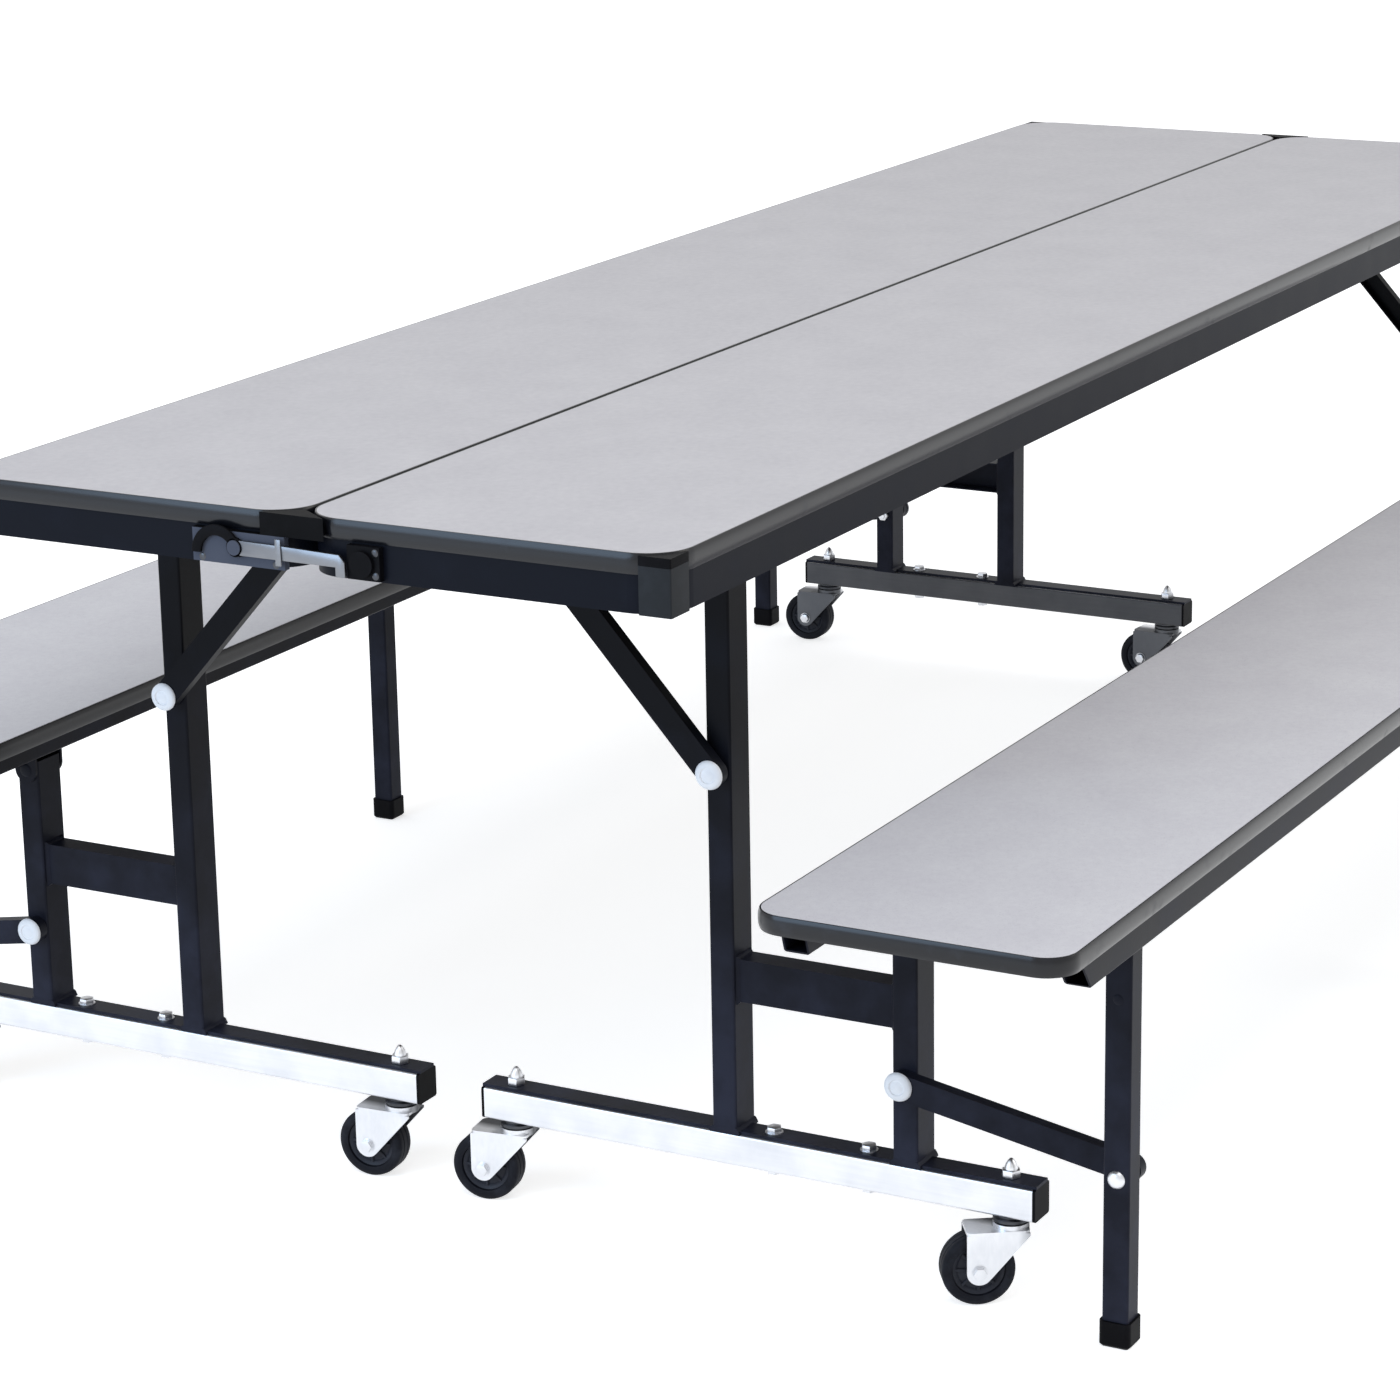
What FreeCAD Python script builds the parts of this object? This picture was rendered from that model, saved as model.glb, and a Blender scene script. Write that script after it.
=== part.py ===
import FreeCAD, Part
import math
import os
import re
import Sketcher

# Two mirrored convertible bench units, latched side by side into one table with benches.
# X runs along the table, Y across it (the left unit at +Y), Z up from the floor.
# Every piece of a unit is drawn once, in the left unit's place. The right unit is the same
# piece turned half way round about the Z axis.

VECTOR = FreeCAD.Vector

doc = FreeCAD.newDocument("bench_table")
sizes = doc.addObject("Spreadsheet::Sheet", "sizes")

# Driving sizes in millimetres: name, value, meaning.
SIZES = [
    ("table_length", 2464, "length of tops and benches"),
    ("top_height", 737, "floor to table surface"),
    ("top_reach", 384, "seam centre to outer edge of a top"),
    ("seam_gap", 1, "gap between the two tops"),
    ("top_corner", 45, "corner radius of a top"),
    ("top_board", 19, "thickness of a top's board"),
    ("edge_band", 2, "thickness of the edge moulding"),
    ("edge_round", 1.2, "rounding of the edge moulding"),
    ("apron_height", 35, "height of the steel apron"),
    ("apron_inset", 3, "edge of the top to the apron"),
    ("apron_lip", 14, "width of the apron's bottom lip"),
    ("sheet_wall", 2, "wall of pressed steel parts"),
    ("frame_setback", 224, "table end to the end frame's front face"),
    ("tube_width", 25.4, "upright and post, across the table"),
    ("tube_depth", 38.1, "upright and post, along the table"),
    ("tube_wall", 1.8, "wall of all tubes"),
    ("tube_round", 2.5, "outer corner radius of all tubes"),
    ("upright_reach", 305, "seam centre to upright centre"),
    ("post_reach", 494, "seam centre to bench post centre"),
    ("rail_top", 292, "height of the rail's top"),
    ("rail_height", 42, "height of the rail's section"),
    ("rail_depth", 25.4, "depth of the rail's section"),
    ("beam_top", 118, "height of the base beam's top"),
    ("beam_size", 31.8, "side of the square base beam"),
    ("beam_inner", 36, "seam centre to the beam's inner end"),
    ("beam_outer", 625, "seam centre to the beam's outer end"),
    ("cap_flange", 3, "flange of a beam's end cap"),
    ("cap_plug", 14, "length of the cap's plug"),
    ("cap_fit", 0.2, "gap round the cap's plug"),
    ("foot_bar", 3, "thickness of the flat bar under a frame"),
    ("foot_bar_inset", 3.2, "edge of the beam to the edge of the flat bar"),
    ("foot_bolt_gap", 32, "upright or post to its foot bolt"),
    ("top_pivot", 664, "height of a top's hinge"),
    ("brace_pivot", 476.5, "height of the brace's pivot"),
    ("brace_end", 105, "seam centre to the brace's upper pin"),
    ("brace_travel", 94, "slide of the upper pin along its track"),
    ("brace_gap", 5.4, "upright to brace"),
    ("bench_pivot", 372, "height of a bench's hinge"),
    ("post_head", 9, "bench hinge up to the top of its post"),
    ("strut_pivot", 202, "height of the strut's pivot on the post"),
    ("leg_drop", 40, "bench hinge down to leg hinge"),
    ("strut_gap", 1, "post to strut"),
    ("leg_gap", 1.1, "strut to leg"),
    ("arm_width", 25.4, "width of braces and struts"),
    ("arm_depth", 12.7, "depth of braces and struts"),
    ("arm_solid", 20, "solid end of an arm, from its pivot"),
    ("pin_size", 8, "diameter of pivot pins"),
    ("pin_fit", 0.1, "radial running clearance on a pin"),
    ("ear", 3, "thickness of a hinge ear"),
    ("ear_round", 13, "radius of a hinge ear"),
    ("ear_gap", 0.3, "tube to hinge ear"),
    ("head_size", 14, "diameter of a hinge pin's head"),
    ("head_height", 1.2, "height of a hinge pin's head"),
    ("member_height", 24, "height of cross channels and stringers"),
    ("track_gap", 1.5, "arm to track wall"),
    ("track_height", 30, "height of the brace's track"),
    ("track_drop", 20, "board to the brace's upper pin"),
    ("track_margin", 28, "track past the pin's travel, each way"),
    ("track_pin_gap", 0.3, "end of the upper pin to the track's wall"),
    ("bench_height", 430, "floor to seat"),
    ("bench_inner", 450, "seam centre to a bench's inner edge"),
    ("bench_outer", 751, "seam centre to a bench's outer edge"),
    ("bench_corner", 32, "corner radius of a bench"),
    ("bench_board", 18, "thickness of a bench's board"),
    ("stringer_width", 25, "width of a bench stringer"),
    ("stringer_setback", 25, "bench end to stringer end"),
    ("inner_stringer", 485, "seam centre to the inner stringer's centre"),
    ("outer_stringer_inset", 2, "bench edge to the outer stringer"),
    ("leg_inset", 30, "bench's outer edge to leg centre"),
    ("leg_size", 25.4, "side of the square leg"),
    ("leg_top_gap", 3, "leg to stringer"),
    ("lug", 6, "thickness of a leg lug"),
    ("lug_width", 20, "width of a leg lug"),
    ("tip_wall", 2.5, "wall of a leg tip"),
    ("tip_height", 25, "height of a leg tip"),
    ("tip_sole", 5, "sole of a leg tip"),
    ("cover_size", 28, "diameter of a pivot cover"),
    ("cover_height", 4, "height of a pivot cover"),
    ("nut_size", 14, "diameter of nuts and washers"),
    ("nut_height", 6, "height of nuts"),
    ("wheel_size", 69, "diameter of a caster wheel"),
    ("wheel_width", 25, "width of a caster wheel"),
    ("tyre_bevel", 4, "bevel beside a wheel's tread"),
    ("wheel_gap", 2.5, "wheel to fork"),
    ("wheel_trail", 31.5, "swivel axis to axle"),
    ("fork_wall", 2.5, "wall of a caster fork"),
    ("axle_boss", 24, "width of a fork's cheek at the axle"),
    ("race_size", 34, "diameter of the swivel race"),
    ("race_height", 4.5, "height of the swivel race"),
    ("race_gap", 0.3, "gap between the races"),
    ("stem_size", 11, "diameter of a caster stem"),
    ("stem_inset", 31, "beam end to caster stem"),
    ("stem_nut", 18, "diameter of the stem's acorn nut"),
    ("latch_plate", 7, "thickness of latch plate and keeper"),
    ("latch_lever", 3.5, "thickness of the latch lever"),
    ("latch_gap", 0.9, "latch plate to lever"),
    ("latch_block_half", 34, "seam centre to the end of the latch block"),
    ("latch_block_depth", 23, "front of the latch block to its point"),
    ("latch_pivot", 60, "seam centre to the lever's pivot"),
    ("latch_pivot_drop", 35, "surface to the lever's pivot"),
    ("grip_size", 54, "outer diameter of the lever's arched grip"),
    ("grip_bore", 34, "inner diameter of the grip"),
    ("grip_reach", 20, "lever's pivot to the grip's centre"),
    ("grip_drop", 8, "lever's pivot down to the foot of the grip"),
    ("lever_boss", 18, "diameter of the lever round its pivot"),
    ("lever_width", 14, "width of the lever's shank"),
    ("nose_drop", 16, "lever's pivot down to the tip of its nose"),
    ("nose_width", 10, "width of the lever's nose"),
    ("nose_reach", 24, "latch block to the tip of the lever"),
    ("keeper_gap", 24.1, "latch block to the keeper's plate"),
    ("keeper_width", 34, "width of the keeper's plate"),
    ("keeper_boss", 24, "diameter of the keeper's boss"),
    ("keeper_boss_inset", 16, "keeper's edge to the middle of its boss"),
    ("keeper_boss_drop", 2, "lever's pivot down to the keeper's boss"),
]

# Places worked out from the driving sizes.
PLACES = {
    "half": "table_length / 2",
    "top_seam": "seam_gap / 2",
    "board_bottom": "top_height - top_board",
    "apron_bottom": "board_bottom - apron_height",
    "apron_face": "half - apron_inset",
    "apron_corner": "top_corner - apron_inset",
    "hole": "pin_size + 2 * pin_fit",
    "tube_low": "upright_reach - tube_width / 2",
    "tube_high": "upright_reach + tube_width / 2",
    "post_low": "post_reach - tube_width / 2",
    "post_high": "post_reach + tube_width / 2",
    "beam_bottom": "beam_top - beam_size",
    "foot_top": "beam_top + foot_bar",
    "upright_top": "top_pivot + tube_width / 2",
    "post_top": "bench_pivot + post_head",
    "upright_bolt": "tube_high + foot_bolt_gap",
    "post_bolt": "post_low - foot_bolt_gap",
    "brace_front": "frame_setback - brace_gap - arm_depth",
    "strut_front": "frame_setback - strut_gap - arm_depth",
    "leg_front": "strut_front - leg_gap - leg_size",
    "leg_pivot": "bench_pivot - leg_drop",
    "leg_bolt": "strut_pivot - leg_drop",
    "brace_end_height": "board_bottom - track_drop",
    "ear_front": "frame_setback - ear_gap - ear",
    "ear_back": "frame_setback + tube_depth + ear_gap",
    "member_width": "tube_depth + 2 * ear_gap",
    "track_front": "brace_front - track_gap - sheet_wall",
    "track_width": "arm_depth + 2 * track_gap + 2 * sheet_wall",
    "track_low": "brace_end - track_margin",
    "track_length": "brace_travel + 2 * track_margin",
    "bench_bottom": "bench_height - bench_board",
    "stringer_bottom": "bench_bottom - member_height",
    "stringer_out": "inner_stringer + stringer_width / 2",
    "outer_low": "bench_outer - outer_stringer_inset - stringer_width",
    "leg_reach": "bench_outer - leg_inset",
    "leg_top": "stringer_bottom - leg_top_gap",
    "wheel_radius": "wheel_size / 2",
    "crown": "wheel_size + wheel_gap",
    "crown_top": "crown + fork_wall",
    "race_top": "crown_top + race_height",
    "fork_inner": "wheel_width / 2 + wheel_gap",
    "stem_low": "beam_inner + stem_inset",
    "stem_high": "beam_outer - stem_inset",
    "plate_front": "apron_face + latch_plate",
    "lever_back": "plate_front + latch_gap",
    "lever_height": "top_height - latch_pivot_drop",
    "grip_middle": "latch_pivot + grip_reach",
    "grip_base": "lever_height - grip_drop",
    "nose_out": "0 - latch_block_half - nose_reach",
    "keeper_edge": "0 - latch_block_half - keeper_gap",
}

SHEET_WORD = re.compile(r"[a-z][a-z_]+")


def fill_sheet():
    for row, (name, value, meaning) in enumerate(SIZES, start=1):
        sizes.set(f"A{row}", meaning)
        sizes.set(f"B{row}", str(value))
        sizes.setAlias(f"B{row}", name)
    doc.recompute()


def spell(text):
    """Write places out in driving sizes, each with the sheet's name before it."""
    names = {name for name, value, meaning in SIZES}

    def swap(match):
        word = match.group(0)
        if word in PLACES:
            return f"({spell(PLACES[word])})"
        if word in names:
            return f"sizes.{word}"
        return word

    return SHEET_WORD.sub(swap, str(text))


def bind(item, target, text):
    item.setExpression(target, spell(text))


def measure(item, text):
    return float(item.evalExpression(spell(text)))


# ---------------------------------------------------------------- drawing helpers

nodes = []


def new_body(label, side=1):
    """An empty body; side -1 turns it half way round into the right unit."""
    body = doc.addObject("PartDesign::Body", label)
    body.Label = label
    body.AllowCompound = True
    if side < 0:
        body.Placement = FreeCAD.Placement(VECTOR(0, 0, 0), FreeCAD.Rotation(VECTOR(0, 0, 1), 180))
    nodes.append(body)
    return body


def new_sketch(body, plane, at):
    """A sketch parallel to an origin plane, where the third axis reads 'at'."""
    sketch = body.newObject("Sketcher::SketchObject", f"{body.Name}_sketch")
    for feature in body.Origin.OriginFeatures:
        if feature.Role == f"{plane}_Plane":
            sketch.AttachmentSupport = (feature, [""])
    sketch.MapMode = "FlatFace"
    away = f"-({at})" if plane == "XZ" else f"{at}"
    bind(sketch, "AttachmentOffset.Base.z", away)
    return sketch


def draw_loop(sketch, points):
    """A closed loop of straight runs through points given as pairs of sizes."""
    first = sketch.GeometryCount
    count = len(points)
    spots = [VECTOR(measure(sketch, x), measure(sketch, y), 0) for x, y in points]
    for index in range(count):
        line = Part.LineSegment(spots[index], spots[(index + 1) % count])
        sketch.addGeometry(line, False)
    for index in range(count):
        after = first + (index + 1) % count
        sketch.addConstraint(Sketcher.Constraint("Coincident", first + index, 2, after, 1))
    for index, (x, y) in enumerate(points):
        for kind, value, text in (("DistanceX", spots[index].x, x), ("DistanceY", spots[index].y, y)):
            made = sketch.addConstraint(Sketcher.Constraint(kind, first + index, 1, value))
            bind(sketch, f"Constraints[{made}]", text)


def corners(left, right, low, high):
    return [(left, low), (right, low), (right, high), (left, high)]


def pad(body, plane, at, length, *loops):
    """Loops drawn at 'at' and pushed along the plane's axis by 'length'."""
    sketch = new_sketch(body, plane, at)
    for loop in loops:
        draw_loop(sketch, loop)
    solid = body.newObject("PartDesign::Pad", f"{body.Name}_pad")
    solid.Profile = sketch
    solid.Reversed = plane == "XZ"
    bind(solid, "Length", length)
    return solid


def pocket(body, plane, at, length, *loops):
    """As pad, but the loops cut along the plane's axis from 'at'."""
    sketch = new_sketch(body, plane, at)
    for loop in loops:
        draw_loop(sketch, loop)
    cut = body.newObject("PartDesign::Pocket", f"{body.Name}_cut")
    cut.Profile = sketch
    cut.Reversed = plane != "XZ"
    bind(cut, "Length", length)
    return cut


AXIS_TURNS = {
    "X": FreeCAD.Rotation(VECTOR(0, 1, 0), 90),
    "Y": FreeCAD.Rotation(VECTOR(1, 0, 0), -90),
    "Z": FreeCAD.Rotation(),
}


def drum(body, axis, spot, length, diameter, kind="Additive"):
    """A round solid or hole that starts at spot and runs along an axis."""
    solid = body.newObject(f"PartDesign::{kind}Cylinder", f"{body.Name}_drum")
    solid.Placement = FreeCAD.Placement(VECTOR(0, 0, 0), AXIS_TURNS[axis])
    for letter, text in zip("xyz", spot):
        bind(solid, f"Placement.Base.{letter}", text)
    bind(solid, "Height", length)
    bind(solid, "Radius", f"({diameter}) / 2")
    return solid


def bore(body, axis, spot, length, diameter="hole"):
    return drum(body, axis, spot, length, diameter, "Subtractive")


def ease_edges(body, kind, target, size, test):
    """Round or chamfer every edge of the body so far that passes the test."""
    doc.recompute()
    base = body.Tip
    chosen = [f"Edge{n}" for n, edge in enumerate(base.Shape.Edges, start=1) if test(edge)]
    eased = body.newObject(f"PartDesign::{kind}", f"{body.Name}_eased")
    eased.Base = (base, chosen)
    bind(eased, target, size)


def round_edges(body, radius, test):
    ease_edges(body, "Fillet", "Radius", radius, test)


def chamfer_edges(body, size, test):
    ease_edges(body, "Chamfer", "Size", size, test)


def runs_along(edge, axis):
    """True for a straight edge parallel to the axis X, Y or Z."""
    if edge.Curve.TypeId != "Part::GeomLine":
        return False
    way = edge.Vertexes[-1].Point.sub(edge.Vertexes[0].Point)
    return abs(abs(getattr(way.normalize(), axis.lower())) - 1) < 1e-6


def near(value, *wanted):
    return min(abs(value - each) for each in wanted) < 1e-3


def from_end(end, distance, depth="0"):
    """X of the lower side of a slab that starts 'distance' in from a table end."""
    if end < 0:
        return f"{distance} - half"
    return f"half - ({distance}) - ({depth})"


def box_tube(body, end, reach, width, depth, front, low, height):
    """An upright square or oblong tube, open at both ends."""
    x = from_end(end, front, depth)
    outer = corners(x, f"{x} + {depth}", f"{reach} - {width} / 2", f"{reach} + {width} / 2")
    inner = corners(f"{x} + tube_wall", f"{x} + {depth} - tube_wall",
                    f"{reach} - {width} / 2 + tube_wall", f"{reach} + {width} / 2 - tube_wall")
    pad(body, "XY", low, height, outer, inner)


# ---------------------------------------------------------------- end frames and beams

def end_frame(label, side, end):
    """Upright, bench post and channel rail, welded to a flat bar that is bolted to the beam."""
    body = new_body(label, side)
    for reach, top in (("upright_reach", "upright_top"), ("post_reach", "post_top")):
        box_tube(body, end, reach, "tube_width", "tube_depth", "frame_setback",
                 "beam_top", f"{top} - beam_top")
    lows = [measure(body, text) for text in ("tube_low", "tube_high", "post_low", "post_high")]
    round_edges(body, "tube_round",
                lambda edge: runs_along(edge, "Z") and near(edge.CenterOfMass.y, *lows))
    front = "frame_setback + (tube_depth - rail_depth) / 2"
    x = from_end(end, front, "rail_depth")
    back = f"{x} + rail_depth"
    web, lips = (x, back) if end < 0 else (back, x)
    toward = "sheet_wall" if end < 0 else "(0 - sheet_wall)"
    bottom = "rail_top - rail_height"
    channel = [(web, bottom), (lips, bottom), (lips, f"{bottom} + sheet_wall"),
               (f"{web} + {toward}", f"{bottom} + sheet_wall"),
               (f"{web} + {toward}", "rail_top - sheet_wall"),
               (lips, "rail_top - sheet_wall"), (lips, "rail_top"), (web, "rail_top")]
    pad(body, "XZ", "tube_high", "post_low - tube_high", channel)
    bar = from_end(end, "frame_setback", "beam_size")
    flat = corners(f"{bar} + foot_bar_inset", f"{bar} + beam_size - foot_bar_inset",
                   "beam_inner", "beam_outer")
    pad(body, "XY", "beam_top", "foot_bar", flat)
    across = from_end(end, "frame_setback", "tube_depth")
    for reach, height in (("upright_reach", "top_pivot"), ("upright_reach", "brace_pivot"),
                          ("post_reach", "bench_pivot"), ("post_reach", "strut_pivot")):
        bore(body, "X", (across, reach, height), "tube_depth")
    middle = f"{bar} + beam_size / 2"
    for reach in ("upright_bolt", "post_bolt"):
        bore(body, "Z", (middle, reach, "beam_top"), "foot_bar")
    for reach in ("stem_low", "stem_high"):
        bore(body, "Z", (middle, reach, "beam_top"), "foot_bar", "stem_size + 2 * pin_fit")
    return body


def base_beam(label, side, end):
    """The square tube that one end frame stands on, drilled for stems and foot bolts."""
    body = new_body(label, side)
    x = from_end(end, "frame_setback", "beam_size")
    outer = corners(x, f"{x} + beam_size", "beam_bottom", "beam_top")
    inner = corners(f"{x} + tube_wall", f"{x} + beam_size - tube_wall",
                    "beam_bottom + tube_wall", "beam_top - tube_wall")
    pad(body, "XZ", "beam_inner + cap_flange", "beam_outer - beam_inner - 2 * cap_flange",
        outer, inner)
    sides = [measure(body, text) for text in ("beam_bottom", "beam_top")]
    round_edges(body, "tube_round",
                lambda edge: runs_along(edge, "Y") and near(edge.CenterOfMass.z, *sides))
    middle = f"{x} + beam_size / 2"
    for reach in ("stem_low", "stem_high"):
        bore(body, "Z", (middle, reach, "beam_bottom"), "beam_size", "stem_size + 2 * pin_fit")
    for reach in ("upright_bolt", "post_bolt"):
        bore(body, "Z", (middle, reach, "beam_bottom"), "beam_size")
    return body


def beam_end_caps():
    """A flanged plug in each open end of the four beams."""
    body = new_body("beam_end_caps")
    inset = "(tube_wall + cap_fit)"
    for side in (1, -1):
        for end in (-1, 1):
            x = from_end(end, "frame_setback", "beam_size")
            flange = corners(x, f"{x} + beam_size", "beam_bottom", "beam_top")
            plug = corners(f"{x} + {inset}", f"{x} + beam_size - {inset}",
                           f"beam_bottom + {inset}", f"beam_top - {inset}")
            low = "beam_inner" if side > 0 else "0 - beam_outer"
            high = "beam_outer - cap_flange" if side > 0 else "0 - beam_inner - cap_flange"
            pad(body, "XZ", low, "cap_flange", flange)
            pad(body, "XZ", f"{low} + cap_flange", "cap_plug", plug)
            pad(body, "XZ", high, "cap_flange", flange)
            pad(body, "XZ", f"{high} - cap_plug", "cap_plug", plug)
    levels = [measure(body, text) for text in ("beam_bottom", "beam_top")]
    round_edges(body, "tube_round",
                lambda edge: runs_along(edge, "Y") and near(edge.CenterOfMass.z, *levels))
    return body


def frame_bolts():
    """Caster stems with acorn nuts, foot bolts with nuts, and the pins of all frame hinges."""
    body = new_body("frame_bolts")
    for side in (1, -1):
        for end in (-1, 1):
            middle = f"{from_end(end, 'frame_setback', 'beam_size')} + beam_size / 2"
            for place in ("stem_low", "stem_high"):
                caster_stem(body, middle, f"{side} * ({place})")
            for place in ("upright_bolt", "post_bolt"):
                foot_bolt(body, middle, f"{side} * ({place})")
            for place, height in (("upright_reach", "top_pivot"), ("post_reach", "bench_pivot")):
                hinge_pin(body, end, f"{side} * {place}", height)
    return body


def caster_stem(body, x, y):
    """Riveted foot, stem, fixed race, and the acorn nut on top of the beam."""
    drum(body, "Z", (x, y, "crown - fork_wall"), "foot_top - crown + fork_wall", "stem_size")
    drum(body, "Z", (x, y, "crown - fork_wall - race_gap"), "fork_wall", "stem_size + 5")
    drum(body, "Z", (x, y, "race_top + race_gap"), "beam_bottom - race_top - race_gap", "race_size")
    drum(body, "Z", (x, y, "foot_top"), "stem_nut / 2", "stem_nut")
    crest = body.newObject("PartDesign::AdditiveCone", f"{body.Name}_crest")
    bind(crest, "Placement.Base.x", x)
    bind(crest, "Placement.Base.y", y)
    bind(crest, "Placement.Base.z", "foot_top + stem_nut / 2")
    bind(crest, "Radius1", "stem_nut * 0.4")
    bind(crest, "Radius2", "stem_nut * 0.2")
    bind(crest, "Height", "stem_nut / 2")


def foot_bolt(body, x, y):
    """Button head on the flat bar, shank through the beam, nut below."""
    drum(body, "Z", (x, y, "foot_top"), "nut_height", "nut_size")
    drum(body, "Z", (x, y, "beam_bottom - nut_height"), "foot_top - beam_bottom + nut_height",
         "pin_size")
    drum(body, "Z", (x, y, "beam_bottom - nut_height"), "nut_height", "nut_size")


def hinge_pin(body, end, y, height):
    """A headed pin through both ears and the tube between them."""
    reach = "ear_back + ear - ear_front + 2 * ear_gap"
    low = from_end(end, "ear_front - ear_gap", reach)
    drum(body, "X", (low, y, height), reach, "pin_size")
    drum(body, "X", (f"{low} - head_height", y, height), "head_height", "head_size")
    drum(body, "X", (f"{low} + {reach}", y, height), "head_height", "head_size")


def pivot_bolts():
    """The covered bolts on which braces and struts turn, with spacer and nut."""
    body = new_body("pivot_bolts")
    for side in (1, -1):
        for end in (-1, 1):
            pivot_bolt(body, end, f"{side} * upright_reach", "brace_pivot", "brace_front", "brace_gap")
            pivot_bolt(body, end, f"{side} * post_reach", "strut_pivot", "strut_front", "strut_gap")
    return body


def pivot_bolt(body, end, y, height, front, gap):
    cover = f"{front} - ear_gap - cover_height"
    shank = f"frame_setback + tube_depth + nut_height - ({front} - ear_gap)"
    nut_start = "frame_setback + tube_depth"
    drum(body, "X", (from_end(end, cover, "cover_height"), y, height), "cover_height", "cover_size")
    drum(body, "X", (from_end(end, f"{front} - ear_gap", shank), y, height), shank, "pin_size")
    spacer = f"{gap} - ear_gap"
    drum(body, "X", (from_end(end, f"frame_setback - {gap} + ear_gap", spacer), y, height),
         spacer, "nut_size")
    drum(body, "X", (from_end(end, nut_start, "nut_height"), y, height), "nut_height", "nut_size")


# ---------------------------------------------------------------- braces and struts

def arm(label, side, end, front, start, finish, slide_pin):
    """A pressed arm between two pivots: solid rounded ends, its back hollowed between them."""
    body = new_body(label, side)
    low = from_end(end, front, "arm_depth")
    spots = [[measure(body, text) for text in spot] for spot in (start, finish)]
    run = VECTOR(spots[1][0] - spots[0][0], spots[1][1] - spots[0][1], 0)
    run.normalize()
    drawn_bar(body, "pad", low, "arm_depth", start, finish, run, "arm_width / 2", "0")
    for spot in (start, finish):
        drum(body, "X", (low, *spot), "arm_depth", "arm_width")
    hollow = low if end > 0 else f"{low} + sheet_wall"
    drawn_bar(body, "cut", hollow, "arm_depth - sheet_wall", start, finish, run,
              "arm_width / 2 - sheet_wall", "arm_solid")
    bore(body, "X", (low, *start), "arm_depth")
    if slide_pin:
        reach = "arm_depth + 2 * track_gap - 2 * track_pin_gap"
        drum(body, "X", (f"{low} - track_gap + track_pin_gap", *finish), reach, "pin_size")
    else:
        bore(body, "X", (low, *finish), "arm_depth")
    return body


def drawn_bar(body, kind, at, length, start, finish, run, half_width, shorter):
    """An oblong between two pivots, each end drawn in by 'shorter'."""
    points = []
    for spot, way in ((start, 1), (finish, -1)):
        inward = (way * run.x, way * run.y)
        for turn in (way, -way):
            across = (-turn * run.y, turn * run.x)
            points.append([f"{place} + ({along:.6f}) * ({shorter}) + ({aside:.6f}) * ({half_width})"
                           for place, along, aside in zip(spot, inward, across)])
    make = pad if kind == "pad" else pocket
    make(body, "YZ", at, length, points)


# ---------------------------------------------------------------- table tops

def board_with_edge(board_label, edge_label, side, seam, reach, top, thickness, corner):
    """A rounded board and the moulding that runs round it."""
    board = new_body(board_label, side)
    band = corners("edge_band - half", "half - edge_band", f"{seam} + edge_band", f"{reach} - edge_band")
    full = corners("0 - half", "half", seam, reach)
    pad(board, "XY", f"{top} - {thickness}", thickness, band)
    round_edges(board, f"{corner} - edge_band", lambda edge: runs_along(edge, "Z"))
    edge_body = new_body(edge_label, side)
    pad(edge_body, "XY", f"{top} - {thickness}", thickness, full)
    round_edges(edge_body, corner, lambda edge: runs_along(edge, "Z"))
    levels = [measure(edge_body, text) for text in (f"{top} - {thickness}", top)]
    round_edges(edge_body, "edge_round",
                lambda edge: near(edge.BoundBox.ZMin, *levels) and near(edge.BoundBox.ZLength, 0))
    hollow_out(edge_body, band, f"{top} - {thickness}", thickness, f"{corner} - edge_band")


def hollow_out(body, loop, low, height, corner):
    """Cut a rounded oblong out of the body: four straight sides and four round corners."""
    (left, front), _, (right, back), _ = loop
    pocket(body, "XY", low, height, corners(f"{left} + {corner}", f"{right} - ({corner})", front, back))
    pocket(body, "XY", low, height, corners(left, right, f"{front} + {corner}", f"{back} - ({corner})"))
    for x in (f"{left} + {corner}", f"{right} - ({corner})"):
        for y in (f"{front} + {corner}", f"{back} - ({corner})"):
            bore(body, "Z", (x, y, low), height, f"2 * ({corner})")


def top_underframe(label, side):
    """Apron ring with a bottom lip, two cross channels with hinge ears, and two brace tracks."""
    body = new_body(label, side)
    apron = corners("0 - apron_face", "apron_face", "top_seam + apron_inset", "top_reach - apron_inset")
    pad(body, "XY", "apron_bottom", "apron_height", apron)
    round_edges(body, "apron_corner", lambda edge: runs_along(edge, "Z"))
    inner = corners("sheet_wall - apron_face", "apron_face - sheet_wall",
                    "top_seam + apron_inset + sheet_wall", "top_reach - apron_inset - sheet_wall")
    hollow_out(body, inner, "apron_bottom + sheet_wall", "apron_height - sheet_wall",
               "apron_corner - sheet_wall")
    lip = corners("apron_lip - apron_face", "apron_face - apron_lip",
                  "top_seam + apron_inset + apron_lip", "top_reach - apron_inset - apron_lip")
    hollow_out(body, lip, "apron_bottom", "sheet_wall", "apron_corner - apron_lip")
    for end in (-1, 1):
        cross_channel(body, end)
        brace_track(body, end)
    return body


def open_channel(body, x, width, low, high, near_y, far_y):
    """A channel across the unit, open at the top against the board."""
    pad(body, "XZ", near_y, f"{far_y} - ({near_y})",
        [(x, high), (x, low), (f"{x} + {width}", low), (f"{x} + {width}", high),
         (f"{x} + {width} - sheet_wall", high), (f"{x} + {width} - sheet_wall", f"{low} + sheet_wall"),
         (f"{x} + sheet_wall", f"{low} + sheet_wall"), (f"{x} + sheet_wall", high)])


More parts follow.
